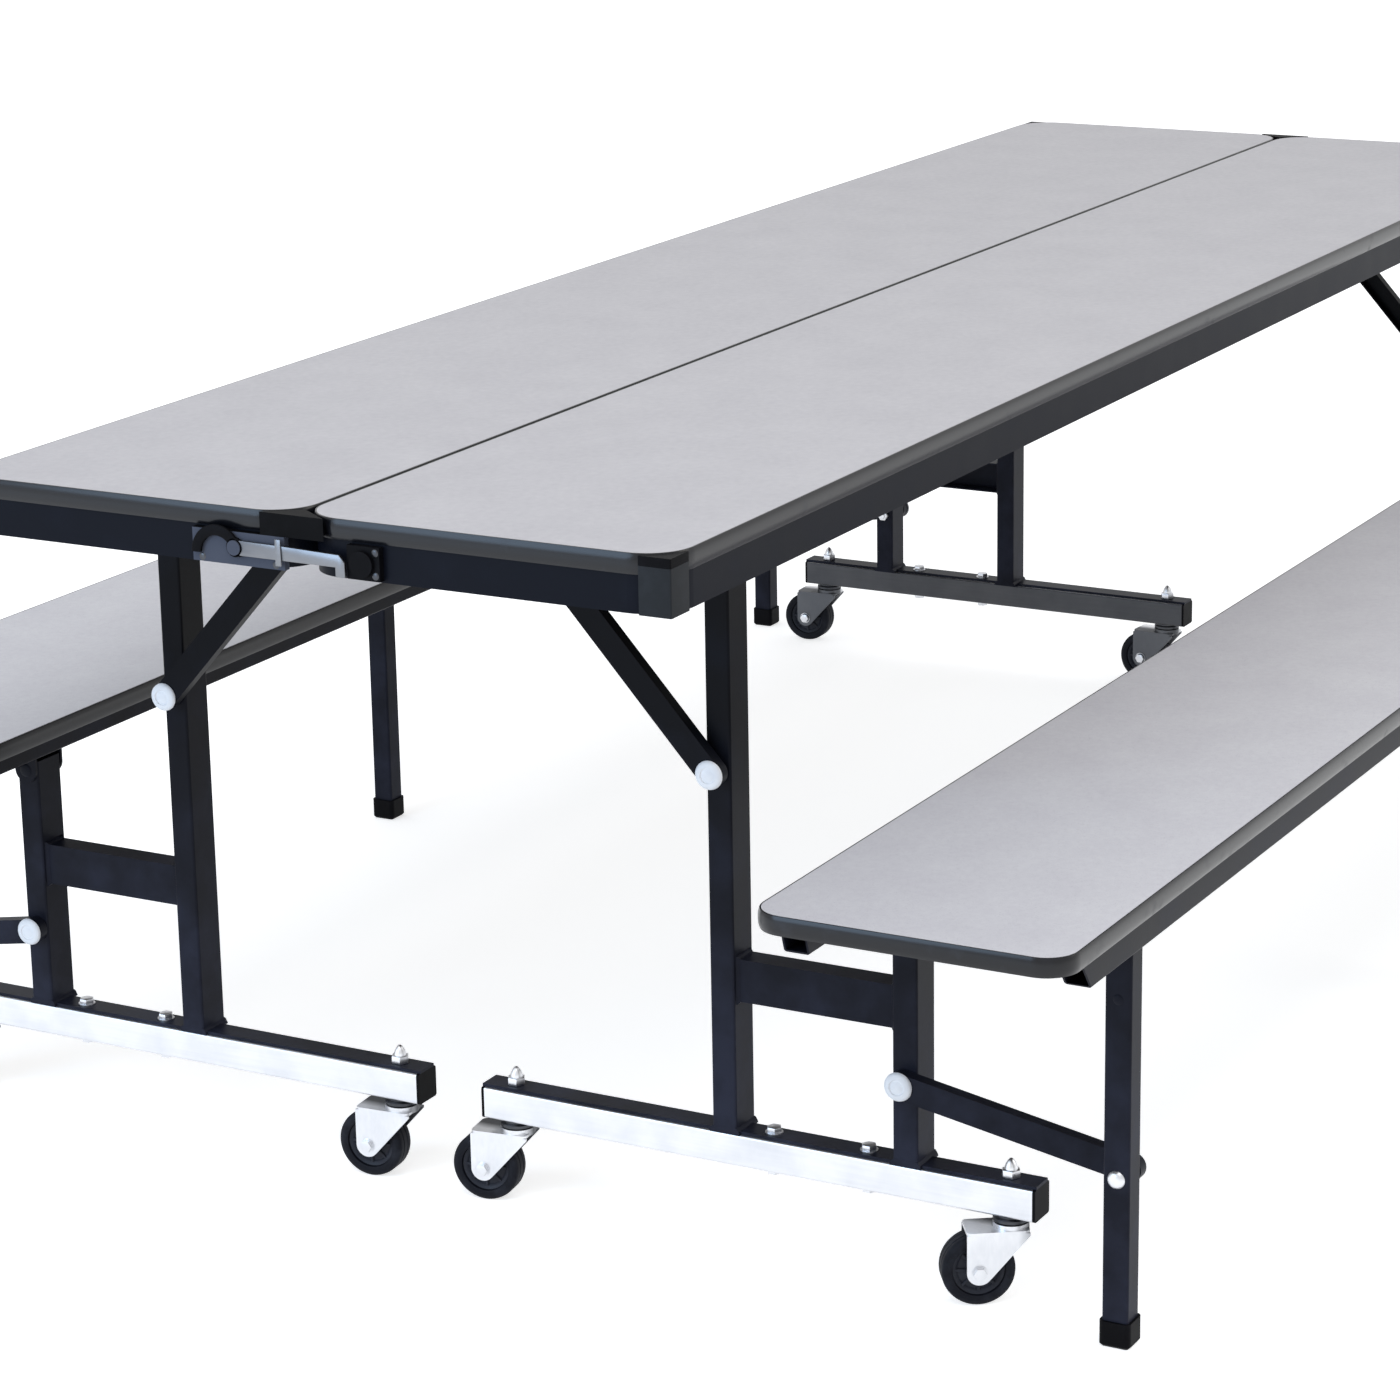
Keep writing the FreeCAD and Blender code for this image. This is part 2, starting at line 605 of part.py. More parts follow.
def cross_channel(body, end):
    """The channel over one upright, and the two ears that hang from it on the hinge pin."""
    x = from_end(end, "frame_setback - ear_gap", "member_width")
    bottom = "board_bottom - member_height"
    open_channel(body, x, "member_width", bottom, "board_bottom",
                 "top_seam + apron_inset + sheet_wall", "top_reach - apron_inset - sheet_wall")
    for front in ("ear_front", "ear_back"):
        low = from_end(end, front, "ear")
        flank = corners("upright_reach - ear_round", "upright_reach + ear_round",
                        "top_pivot", "board_bottom")
        pad(body, "YZ", low, "ear", flank)
        drum(body, "X", (low, "upright_reach", "top_pivot"), "ear", "2 * ear_round")
        bore(body, "X", (low, "upright_reach", "top_pivot"), "ear")


def brace_track(body, end):
    """An inverted channel with a slot in each wall for the brace's upper pin."""
    x = from_end(end, "track_front", "track_width")
    low = "board_bottom - track_height"
    pad(body, "XZ", "track_low", "track_length",
        [(x, "board_bottom"), (x, low), (f"{x} + sheet_wall", low),
         (f"{x} + sheet_wall", "board_bottom - sheet_wall"),
         (f"{x} + track_width - sheet_wall", "board_bottom - sheet_wall"),
         (f"{x} + track_width - sheet_wall", low), (f"{x} + track_width", low),
         (f"{x} + track_width", "board_bottom")])
    slot = corners("brace_end", "brace_end + brace_travel",
                   "brace_end_height - hole / 2", "brace_end_height + hole / 2")
    pocket(body, "YZ", x, "track_width", slot)
    for reach in ("brace_end", "brace_end + brace_travel"):
        bore(body, "X", (x, reach, "brace_end_height"), "track_width")


# ---------------------------------------------------------------- benches

def bench_stringers(label, side):
    """Two lengthwise tubes under the bench board."""
    body = new_body(label, side)
    low = "stringer_setback - half"
    for near_y in ("inner_stringer - stringer_width / 2", "outer_low"):
        outer = corners(near_y, f"{near_y} + stringer_width", "stringer_bottom", "bench_bottom")
        inner = corners(f"{near_y} + tube_wall", f"{near_y} + stringer_width - tube_wall",
                        "stringer_bottom + tube_wall", "bench_bottom - tube_wall")
        pad(body, "YZ", low, "table_length - 2 * stringer_setback", outer, inner)
    bottom = measure(body, "stringer_bottom")
    round_edges(body, "tube_round",
                lambda edge: runs_along(edge, "X") and near(edge.CenterOfMass.z, bottom))
    return body


def bench_brackets(label, side):
    """Three cross channels, the hinge ears on the outer two, and a lug over each leg."""
    body = new_body(label, side)
    width = "member_width"
    for end in (-1, 1):
        x = from_end(end, "frame_setback - ear_gap", width)
        open_channel(body, x, width, "stringer_bottom", "bench_bottom", "stringer_out", "outer_low")
        for front in ("ear_front", "ear_back"):
            bench_ear(body, from_end(end, front, "ear"))
        leg_lug(body, from_end(end, "leg_front + (leg_size - lug) / 2", "lug"))
    middle = "0 - member_width / 2 - leg_size"
    open_channel(body, middle, width, "stringer_bottom", "bench_bottom", "stringer_out", "outer_low")
    leg_lug(body, "0 - lug / 2")
    return body


def bench_ear(body, low):
    """An ear that reaches under the inner stringer to the pin on the post's top."""
    blade = [("stringer_out", "bench_bottom"), ("stringer_out + 2 * ear_round", "bench_bottom"),
             ("post_reach + ear_round", "bench_pivot"), ("post_reach - ear_round", "bench_pivot"),
             ("post_reach - ear_round", "stringer_bottom"), ("stringer_out", "stringer_bottom")]
    pad(body, "YZ", low, "ear", blade)
    drum(body, "X", (low, "post_reach", "bench_pivot"), "ear", "2 * ear_round")
    bore(body, "X", (low, "post_reach", "bench_pivot"), "ear")


def leg_lug(body, low):
    """A plate welded in the corner of the outer stringer that hangs inside the leg."""
    near_y = "leg_reach - lug_width / 2"
    far_y = "leg_reach + lug_width / 2"
    blade = [(near_y, "leg_pivot"), (far_y, "leg_pivot"), (far_y, "stringer_bottom"),
             ("outer_low", "stringer_bottom"), ("outer_low", "bench_bottom"),
             (f"{near_y} - lug_width / 2", "bench_bottom"), (near_y, "stringer_bottom")]
    pad(body, "YZ", low, "lug", blade)
    drum(body, "X", (low, "leg_reach", "leg_pivot"), "lug", "lug_width")
    bore(body, "X", (low, "leg_reach", "leg_pivot"), "lug")


# ---------------------------------------------------------------- outer legs

def leg_fronts():
    """Where the three legs of a bench stand: X of the lower face of each tube."""
    return [from_end(-1, "leg_front", "leg_size"), "0 - leg_size / 2",
            from_end(1, "leg_front", "leg_size")]


def leg_square(x, grow):
    return corners(f"{x} - ({grow})", f"{x} + leg_size + {grow}",
                   f"leg_reach - leg_size / 2 - ({grow})", f"leg_reach + leg_size / 2 + {grow}")


def outer_legs(label, side):
    """Three square tubes; the inboard wall is open at the top where the lug swings out."""
    body = new_body(label, side)
    for x in leg_fronts():
        pad(body, "XY", "tip_sole", "leg_top - tip_sole", leg_square(x, "0"),
            leg_square(x, "0 - tube_wall"))
    flanks = [measure(body, f"leg_reach {sign} leg_size / 2") for sign in "-+"]
    round_edges(body, "tube_round",
                lambda edge: runs_along(edge, "Z") and near(edge.CenterOfMass.y, *flanks))
    inboard = "leg_reach - leg_size / 2"
    for x in leg_fronts():
        window = corners(f"{x} + tube_wall", f"{x} + leg_size - tube_wall",
                         "leg_pivot - lug_width / 2 - tube_wall", "leg_top + 1")
        pocket(body, "XZ", f"{inboard} - 1", "tube_wall + 1.5", window)
        bore(body, "X", (x, "leg_reach", "leg_pivot"), "leg_size")
    for x in leg_fronts()[::2]:
        bore(body, "X", (x, "leg_reach", "leg_bolt"), "leg_size")
    return body


def leg_tips(label, side):
    """A moulded shoe on the foot of each leg."""
    body = new_body(label, side)
    for x in leg_fronts():
        pad(body, "XY", "0", "tip_height", leg_square(x, "tip_wall"))
    round_edges(body, "tube_round + tip_wall", lambda edge: runs_along(edge, "Z"))
    chamfer_edges(body, "tip_wall", lambda edge: near(edge.BoundBox.ZMax, 0))
    for x in leg_fronts():
        square = leg_square(x, "0")
        hollow_out(body, square, "tip_sole", "tip_height - tip_sole", "tube_round")
    return body


def leg_bolts(label, side):
    """The hinge pin of each leg, and the bolts that join the outer two to their struts."""
    body = new_body(label, side)
    for x in leg_fronts():
        spot = (f"{x} - head_height", "leg_reach", "leg_pivot")
        drum(body, "X", spot, "leg_size + 2 * head_height", "pin_size")
        for low in (f"{x} - head_height", f"{x} + leg_size"):
            drum(body, "X", (low, "leg_reach", "leg_pivot"), "head_height", "head_size - 4")
    for end in (-1, 1):
        reach = "leg_size + leg_gap + arm_depth + ear_gap + nut_height"
        head = from_end(end, "leg_front - cover_height", "cover_height")
        nut = from_end(end, "strut_front + arm_depth + ear_gap", "nut_height")
        drum(body, "X", (from_end(end, "leg_front", reach), "leg_reach", "leg_bolt"), reach, "pin_size")
        drum(body, "X", (head, "leg_reach", "leg_bolt"), "cover_height", "nut_size + 3")
        drum(body, "X", (nut, "leg_reach", "leg_bolt"), "nut_height", "nut_size")
    return body


# ---------------------------------------------------------------- casters

# Where each caster has come to rest: its trail turned from +Y, in degrees.
CASTERS = {
    "near_left_inner": (-1, 1, "stem_low", 5),
    "near_left_outer": (-1, 1, "stem_high", -9),
    "far_left_inner": (1, 1, "stem_low", -4),
    "far_left_outer": (1, 1, "stem_high", 3),
    "near_right_inner": (-1, -1, "stem_low", 8),
    "near_right_outer": (-1, -1, "stem_high", 34),
    "far_right_inner": (1, -1, "stem_low", 12),
    "far_right_outer": (1, -1, "stem_high", -8),
}


def place_caster(body, end, side, place, turn, trail):
    """Set a caster piece under its stem; 'trail' moves it from swivel axis to axle."""
    angle = math.radians(turn)
    middle = f"{from_end(end, 'frame_setback', 'beam_size')} + beam_size / 2"
    body.Placement = FreeCAD.Placement(VECTOR(0, 0, 0), FreeCAD.Rotation(VECTOR(0, 0, 1), turn))
    bind(body, "Placement.Base.x", f"{middle} - {math.sin(angle):.6f} * ({trail})")
    bind(body, "Placement.Base.y", f"{side} * ({place}) + {math.cos(angle):.6f} * ({trail})")


def caster_fork(label, end, side, place, turn):
    """Pressed fork: crown with its race, two tapered cheeks, and the axle with its heads."""
    body = new_body(label)
    outer = "fork_inner + fork_wall"
    rear = "0 - race_size * 0.45"
    front = "wheel_trail + axle_boss / 2"
    pad(body, "XY", "crown", "fork_wall", corners(f"0 - ({outer})", outer, rear, front))
    round_edges(body, "fork_wall * 2", lambda edge: runs_along(edge, "Z"))
    drum(body, "Z", ("0", "0", "crown"), "race_height + fork_wall", "race_size")
    cheek = [(rear, "crown"), (front, "crown"), (front, "wheel_radius"),
             ("wheel_trail", "wheel_radius"),
             ("wheel_trail - axle_boss * 0.405", "wheel_radius - axle_boss * 0.3"),
             (rear, "crown - fork_wall")]
    for x in (f"0 - ({outer})", "fork_inner"):
        pad(body, "YZ", x, "fork_wall", cheek)
        drum(body, "X", (x, "wheel_trail", "wheel_radius"), "fork_wall", "axle_boss")
    drum(body, "X", (f"0 - ({outer}) - fork_wall", "wheel_trail", "wheel_radius"),
         f"2 * ({outer}) + 2 * fork_wall", "pin_size")
    for x in (f"0 - ({outer}) - fork_wall", outer):
        drum(body, "X", (x, "wheel_trail", "wheel_radius"), "fork_wall", "pin_size + 5")
    bore(body, "Z", ("0", "0", "crown"), "race_height + fork_wall", "stem_size + 2 * pin_fit")
    place_caster(body, end, side, place, turn, "0")
    return body


def caster_wheel(label, end, side, place, turn):
    """Bevelled tyre on a dished hub, turned about the axle."""
    body = new_body(label)
    sketch = new_sketch(body, "XY", "0")
    half_width = "wheel_width / 2"
    half_hub = "wheel_width / 2 + wheel_gap - ear_gap"
    flank = [(half_hub, "hole / 2"), (half_hub, "pin_size + 1"),
             ("wheel_width / 4", "wheel_radius * 0.68"), (half_width, "wheel_radius * 0.74"),
             (half_width, "wheel_radius - tyre_bevel"), (f"{half_width} - tyre_bevel", "wheel_radius")]
    profile = flank + [(f"0 - ({x})", y) for x, y in reversed(flank)]
    draw_loop(sketch, profile)
    turned = body.newObject("PartDesign::Revolution", f"{body.Name}_turned")
    turned.Profile = sketch
    turned.ReferenceAxis = (sketch, ["H_Axis"])
    turned.Angle = 360
    place_caster(body, end, side, place, turn, "wheel_trail")
    bind(body, "Placement.Base.z", "wheel_radius")
    return body


# ---------------------------------------------------------------- seam latches

def facing(end, start, finish):
    """X range between two distances from the table's middle, at one end."""
    if end < 0:
        return f"0 - ({finish})"
    return f"{start}"


def latch_body():
    """On the left top at each end: the block in the corner notch, its plate and the lever's stud."""
    body = new_body("latch_body")
    bottom = "board_bottom - sheet_wall"
    for end in (-1, 1):
        pad(body, "XY", bottom, "top_height - board_bottom + sheet_wall", notch_outline(end))
        plate = corners("latch_block_half / 4", "latch_pivot * 1.8", "apron_bottom + sheet_wall", bottom)
        pad(body, "YZ", facing(end, "apron_face", "plate_front"), "latch_plate", plate)
        stud = "latch_gap + latch_lever + ear_gap"
        low = facing(end, "plate_front", f"plate_front + {stud}")
        drum(body, "X", (low, "latch_pivot", "lever_height"), stud, "pin_size")
        head = facing(end, f"plate_front + {stud}", f"plate_front + {stud} + head_height")
        drum(body, "X", (head, "latch_pivot", "lever_height"), "head_height", "head_size")
    return body


def notch_outline(end):
    """A wedge in the notch between the two rounded corners, clear of both."""
    front = "half + latch_plate - apron_inset"
    point = f"{front} - latch_block_depth"
    wedge = [(front, "latch_block_half"), (point, "seam_gap"),
             (point, "0 - seam_gap"), (front, "0 - latch_block_half")]
    return [(f"{end} * ({x})", y) for x, y in wedge]


def latch_lever(label, end):
    """A flat lever: arched grip, straight shank, and a nose that ends beside the keeper."""
    body = new_body(label)
    low = facing(end, "lever_back", "lever_back + latch_lever")
    grip = (low, "grip_middle", "grip_base")
    drum(body, "X", grip, "latch_lever", "grip_size")
    bore(body, "X", grip, "latch_lever", "grip_bore")
    below = corners("grip_middle - grip_size", "grip_middle + grip_size",
                    "grip_base - grip_size", "grip_base")
    pocket(body, "YZ", low, "latch_lever", below)
    upper = "lever_height + lever_width / 2"
    lower = "lever_height - lever_width / 2"
    tip = "lever_height - nose_drop"
    shank = [("latch_pivot", lower), ("latch_pivot", upper),
             ("nose_out + nose_width / 2", "lever_height + lever_width / 3"),
             ("nose_out", "lever_height - lever_width / 7"), ("nose_out", tip),
             ("nose_out + nose_width", tip), ("nose_out + nose_width", lower)]
    pad(body, "YZ", low, "latch_lever", shank)
    pivot = (low, "latch_pivot", "lever_height")
    drum(body, "X", pivot, "latch_lever", "lever_boss")
    bore(body, "X", pivot, "latch_lever")
    return body


def latch_keeper():
    """On the right top at each end: the plate beside the lever's nose, and its boss."""
    body = new_body("latch_keeper")
    for end in (-1, 1):
        plate = corners("keeper_edge - keeper_width", "keeper_edge",
                        "apron_bottom + sheet_wall", "board_bottom - sheet_wall")
        pad(body, "YZ", facing(end, "apron_face", "plate_front"), "latch_plate", plate)
        spot = (facing(end, "plate_front", "plate_front + latch_lever"),
                "keeper_edge - keeper_boss_inset", "lever_height - keeper_boss_drop")
        drum(body, "X", spot, "latch_lever", "keeper_boss")
    return body


# ---------------------------------------------------------------- the whole table

def build():
    beam_end_caps()
    frame_bolts()
    pivot_bolts()
    brace_ends = (("upright_reach", "brace_pivot"), ("brace_end", "brace_end_height"))
    strut_ends = (("post_reach", "strut_pivot"), ("leg_reach", "leg_bolt"))
    for side, hand in ((1, "left"), (-1, "right")):
        for place, where in ((-1, "near"), (1, "far")):
            end = place * side
            end_frame(f"end_frame_{where}_{hand}", side, end)
            base_beam(f"base_beam_{where}_{hand}", side, end)
            arm(f"brace_{where}_{hand}", side, end, "brace_front", *brace_ends, True)
            arm(f"strut_{where}_{hand}", side, end, "strut_front", *strut_ends, False)
        board_with_edge(f"top_board_{hand}", f"top_edge_{hand}", side, "top_seam", "top_reach",
                        "top_height", "top_board", "top_corner")
        board_with_edge(f"bench_board_{hand}", f"bench_edge_{hand}", side, "bench_inner",
                        "bench_outer", "bench_height", "bench_board", "bench_corner")
        top_underframe(f"top_underframe_{hand}", side)
        bench_stringers(f"bench_stringers_{hand}", side)
        bench_brackets(f"bench_brackets_{hand}", side)
        outer_legs(f"outer_legs_{hand}", side)
        leg_tips(f"leg_tips_{hand}", side)
        leg_bolts(f"leg_bolts_{hand}", side)
    for name, (end, side, place, turn) in CASTERS.items():
        caster_fork(f"caster_fork_{name}", end, side, place, turn)
        caster_wheel(f"caster_wheel_{name}", end, side, place, turn)
    latch_body()
    latch_keeper()
    for end, where in ((-1, "near"), (1, "far")):
        latch_lever(f"latch_lever_{where}", end)


def check():
    """Stop before anything is written if a feature failed or a shape is unsound."""
    for item in doc.Objects:
        if "Invalid" in item.State or "Error" in item.State:
            raise RuntimeError(f"{item.Label} failed: {item.State}")
    for body in nodes:
        if body.Shape.isNull() or not body.Shape.isValid():
            raise RuntimeError(f"{body.Label} has no sound shape")


def export():
    os.makedirs("parts", exist_ok=True)
    for body in nodes:
        body.Shape.exportStep(os.path.join("parts", f"{body.Label}.step"))
        print(f"{body.Label}: {len(body.Shape.Solids)} solids, {body.Shape.Volume:.0f} mm3")


fill_sheet()
build()
doc.recompute()
check()
export()
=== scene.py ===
import bmesh
import bpy
import math
from mathutils import Matrix, Vector, noise


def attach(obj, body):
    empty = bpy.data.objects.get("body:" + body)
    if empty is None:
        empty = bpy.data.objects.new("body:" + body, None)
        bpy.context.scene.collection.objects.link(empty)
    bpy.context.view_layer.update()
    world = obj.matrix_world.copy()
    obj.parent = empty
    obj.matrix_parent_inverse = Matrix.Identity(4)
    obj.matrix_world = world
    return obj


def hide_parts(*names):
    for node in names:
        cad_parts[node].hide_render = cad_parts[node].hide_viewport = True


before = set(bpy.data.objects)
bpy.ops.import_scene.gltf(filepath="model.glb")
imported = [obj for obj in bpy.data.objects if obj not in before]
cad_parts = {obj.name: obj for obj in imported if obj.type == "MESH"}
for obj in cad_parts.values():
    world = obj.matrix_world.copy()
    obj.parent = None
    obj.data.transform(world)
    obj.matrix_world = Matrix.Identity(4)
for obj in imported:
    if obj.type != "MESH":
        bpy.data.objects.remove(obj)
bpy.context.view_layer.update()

# Two convertible bench units, latched side by side into one table with benches.
# Most shapes are made in millimetres in the left unit, where Y is above 0, and stamped
# into both units; the right unit is the left one turned half way round.
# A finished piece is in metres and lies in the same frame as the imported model.

halfTurn = Matrix.Rotation(math.pi, 4, "Z")
units = {"left": Matrix.Identity(4), "right": halfTurn}
layAlongX = Matrix.Rotation(math.pi / 2, 4, "Y")        # a shape's own Z laid along X
mirrorX = Matrix.Scale(-1, 4, (1, 0, 0))
smallest = 1e-4                        # closer than this, in millimetres, counts as level or joined

table = {
    "half": 1232,
    "frameSetback": 224,
    "tubeDepth": 38.1,
    "tubeWidth": 25.4,
    "uprightReach": 305,               # middle |Y| of the upright, of the bench post and of a leg
    "postReach": 494,
    "legReach": 721,
    "beamSize": 31.8,
    "beamTop": 118,
    "footTop": 121,
    "benchBottom": 412,
    "casterReach": {"inner": 67, "outer": 594},
}
frameFace = table["half"] - table["frameSetback"]       # |X| of an end frame's outer face
stemX = frameFace - table["beamSize"] / 2
print("frame loaded:", len(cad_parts), "nodes")


# Shader maths

class Flow:
    # one socket of a material, so that maths on it reads as plain sums

    def __init__(self, tree, socket=None):
        self.tree = tree
        self.socket = socket

    def node(self, kind, settings=None, sockets=None, out=0):
        made = self.tree.nodes.new("ShaderNode" + kind)
        for name, value in (settings or {}).items():
            setattr(made, name, value)
        for name, value in (sockets or {}).items():
            if isinstance(value, Flow):
                self.tree.links.new(value.socket, made.inputs[name])
            else:
                made.inputs[name].default_value = value
        return Flow(self.tree, made.outputs[out] if made.outputs else None)

    def maths(self, operation, first, second):
        return self.node("Math", {"operation": operation}, {0: first, 1: second})

    def __add__(self, other):
        return self.maths("ADD", self, other)

    def __radd__(self, other):
        return self.maths("ADD", other, self)

    def __sub__(self, other):
        return self.maths("SUBTRACT", self, other)

    def __rsub__(self, other):
        return self.maths("SUBTRACT", other, self)

    def __mul__(self, other):
        return self.maths("MULTIPLY", self, other)

    def __rmul__(self, other):
        return self.maths("MULTIPLY", other, self)

    def __gt__(self, other):
        return self.maths("GREATER_THAN", self, other)

    def __lt__(self, other):
        return self.maths("LESS_THAN", self, other)

    def steepen(self, low, high):
        # 0 below low, 1 above high
        sockets = {"Value": self, "From Min": low, "From Max": high}
        return self.node("MapRange", {"clamp": True}, sockets)

    def size(self):
        return self.node("Math", {"operation": "ABSOLUTE"}, {0: self})

    def blend(self, under, over):
        # two colours mixed by this value
        settings = {"data_type": "RGBA", "clamp_factor": True}
        return self.node("Mix", settings, {0: self, 6: under, 7: over}, 2)


def colour(red, green, blue):
    # a colour as it is read off a screen, 0 to 255, brought to the shader's scale
    linear = [(part / 255 / 12.92) if part <= 10 else ((part / 255 + 0.055) / 1.055) ** 2.4
              for part in (red, green, blue)]
    return (*linear, 1)


def newFinish(name):
    finish = bpy.data.materials.new(name)
    finish.use_nodes = True
    finish.node_tree.nodes.clear()
    flow = Flow(finish.node_tree)
    return finish, flow, flow.node("TexCoord", out="Object")


def grain(place, scale, detail=2, stretch=(1, 1, 1)):
    if stretch != (1, 1, 1):
        place = place.node("Mapping", None, {"Vector": place, "Scale": stretch})
    return place.node("TexNoise", None, {"Vector": place, "Scale": scale, "Detail": detail})


def axisOf(place, letter):
    return place.node("SeparateXYZ", None, {"Vector": place}, letter)


def closeFinish(flow, height=None, depth=0.0001, strength=0.3, **sockets):
    # the shader's own sockets, with a bump where a height is given
    named = {name.replace("_", " "): value for name, value in sockets.items()}
    if height is not None:
        lift = {"Strength": strength, "Distance": depth, "Height": height}
        named["Normal"] = flow.node("Bump", None, lift)
    shader = flow.node("BsdfPrincipled", None, named)
    flow.node("OutputMaterial", None, {"Surface": shader})


laminateLook = {
    "fleck": colour(166, 163, 171),
    "backer": colour(72, 60, 50),
    "cloudScale": 14,
    "fleckScale": 620,
}


def laminateFinish(name, underside, pale, deep):
    # printed grey laminate above, brown backing sheet below 'underside'
    look = laminateLook
    finish, flow, place = newFinish(name)
    cloud = grain(place, look["cloudScale"], 3)
    mottle = grain(place, look["cloudScale"] * 9, 4)
    fleck = grain(place, look["fleckScale"], 2)
    base = (cloud * 0.55 + mottle * 0.45).steepen(0.3, 0.7).blend(colour(*pale), colour(*deep))
    base = (fleck.steepen(0.56, 0.72) * 0.35).blend(base, look["fleck"])
    below = axisOf(place, "Z") < underside
    base = below.blend(base, look["backer"])
    closeFinish(flow, fleck + mottle * 0.5, 0.00004, 0.35, Base_Color=base,
                Roughness=0.36 + 0.12 * mottle + below * 0.3, Specular_IOR_Level=0.35)
    return finish


def edgeFinish():
    # smooth black moulding, dulled and scuffed here and there
    finish, flow, place = newFinish("edgeMoulding")
    scuff = grain(place, 34, 5).steepen(0.58, 0.74)
    fine = grain(place, 900, 2)
    base = (scuff * 0.4).blend(colour(14, 15, 20), colour(44, 46, 54))
    closeFinish(flow, fine, 0.00003, 0.25, Base_Color=base, Roughness=0.3 + 0.2 * scuff,
                Specular_IOR_Level=0.16, Coat_Weight=0.38, Coat_Roughness=0.2)
    return finish


powderLook = {                         # lengths in metres
    "scuff": (23, 27, 39),
    "dustAndFloorLight": (80, 84, 106),
    "dustAndFloorLightWeight": 0.26,
    "dustAndFloorLightTop": 0.52,
    "dustAndFloorLightDepth": 0.4,
    "seamY": 0.3465,                   # where the apron's strip closes on itself
    "seamX": 1.2285,
    "seamWidth": 0.0007,
}


def powderFinish(name, shade, seams=False):
    # black powder coat with its orange peel and scuffs, paler and bluer towards the floor with dust
    # and painted light
    look = powderLook
    finish, flow, place = newFinish(name)
    peel = grain(place, 520, 2)
    broad = grain(place, 18, 4)
    # partly painted light: the low parts are paler and bluer, partly dust and partly the floor's
    # light painted into the colour
    dustAndFloorLight = (look["dustAndFloorLightTop"] - axisOf(place, "Z")).steepen(0, look["dustAndFloorLightDepth"])
    dustAndFloorLight = dustAndFloorLight * (0.4 + 0.6 * broad.steepen(0.36, 0.66))
    base = (broad.steepen(0.5, 0.75) * 0.3).blend(colour(*shade), colour(*look["scuff"]))
    base = (dustAndFloorLight * look["dustAndFloorLightWeight"]).blend(base, colour(*look["dustAndFloorLight"]))
    height = peel
    if seams:
        fromSeam = (axisOf(place, "Y").size() - look["seamY"]).size()
        seam = (fromSeam < look["seamWidth"]) * (axisOf(place, "X").size() > look["seamX"])
        height = peel - seam * 9
        base = seam.blend(base, colour(4, 4, 5))
    closeFinish(flow, height, 0.00012, 0.32, Base_Color=base, Roughness=0.36 + 0.1 * broad,
                Specular_IOR_Level=0.07)
    return finish


def zincFinish(name, stretch, shade=225, inner=None, spread=0.001, paintedShade=(24, 25, 30)):
    # bright zinc plate with faint streaks along its drawing direction; the side that faces
    # the middle of the table, where |X| is below 'inner', is darkened as painted shade
    finish, flow, place = newFinish(name)
    streak = grain(place, 260, 3, stretch)
    cloud = grain(place, 22, 4)
    bright = colour(shade, shade + 1, shade + 4)
    dull = colour(shade - 38, shade - 35, shade - 28)
    base = (streak * 0.35 + cloud.steepen(0.4, 0.75) * 0.4).blend(bright, dull)
    rough = 0.24 + 0.14 * cloud + 0.08 * streak
    if inner:
        # painted shade: the faces towards the middle of the table are darkened towards the given
        # dark colour
        paintedShadeMask = 1 - axisOf(place, "X").size().steepen(inner - 0.001, inner + spread)
        base = (paintedShadeMask * 0.9).blend(base, colour(*paintedShade))
        rough = rough + paintedShadeMask * 0.16
    closeFinish(flow, streak, 0.00003, 0.3, Base_Color=base, Metallic=1.0, Roughness=rough)
    return finish


def plasticFinish(name, shade, roughness, wear, plate=None, sheen=0.14):
    # moulded plastic: fine tooling texture, worn paler or darker in patches; below the height
    # 'plate' it is a dull grey steel plate
    finish, flow, place = newFinish(name)
    fine = grain(place, 1100, 2)
    patch = grain(place, 55, 4)
    base = (patch.steepen(0.45, 0.7) * 0.5).blend(colour(*shade), colour(*wear))
    if plate:
        base = (axisOf(place, "Z") < plate).blend(base, colour(74, 78, 90))
    closeFinish(flow, fine, 0.00004, 0.35, Base_Color=base, Roughness=roughness + 0.12 * patch,
                Specular_IOR_Level=sheen)
    return finish


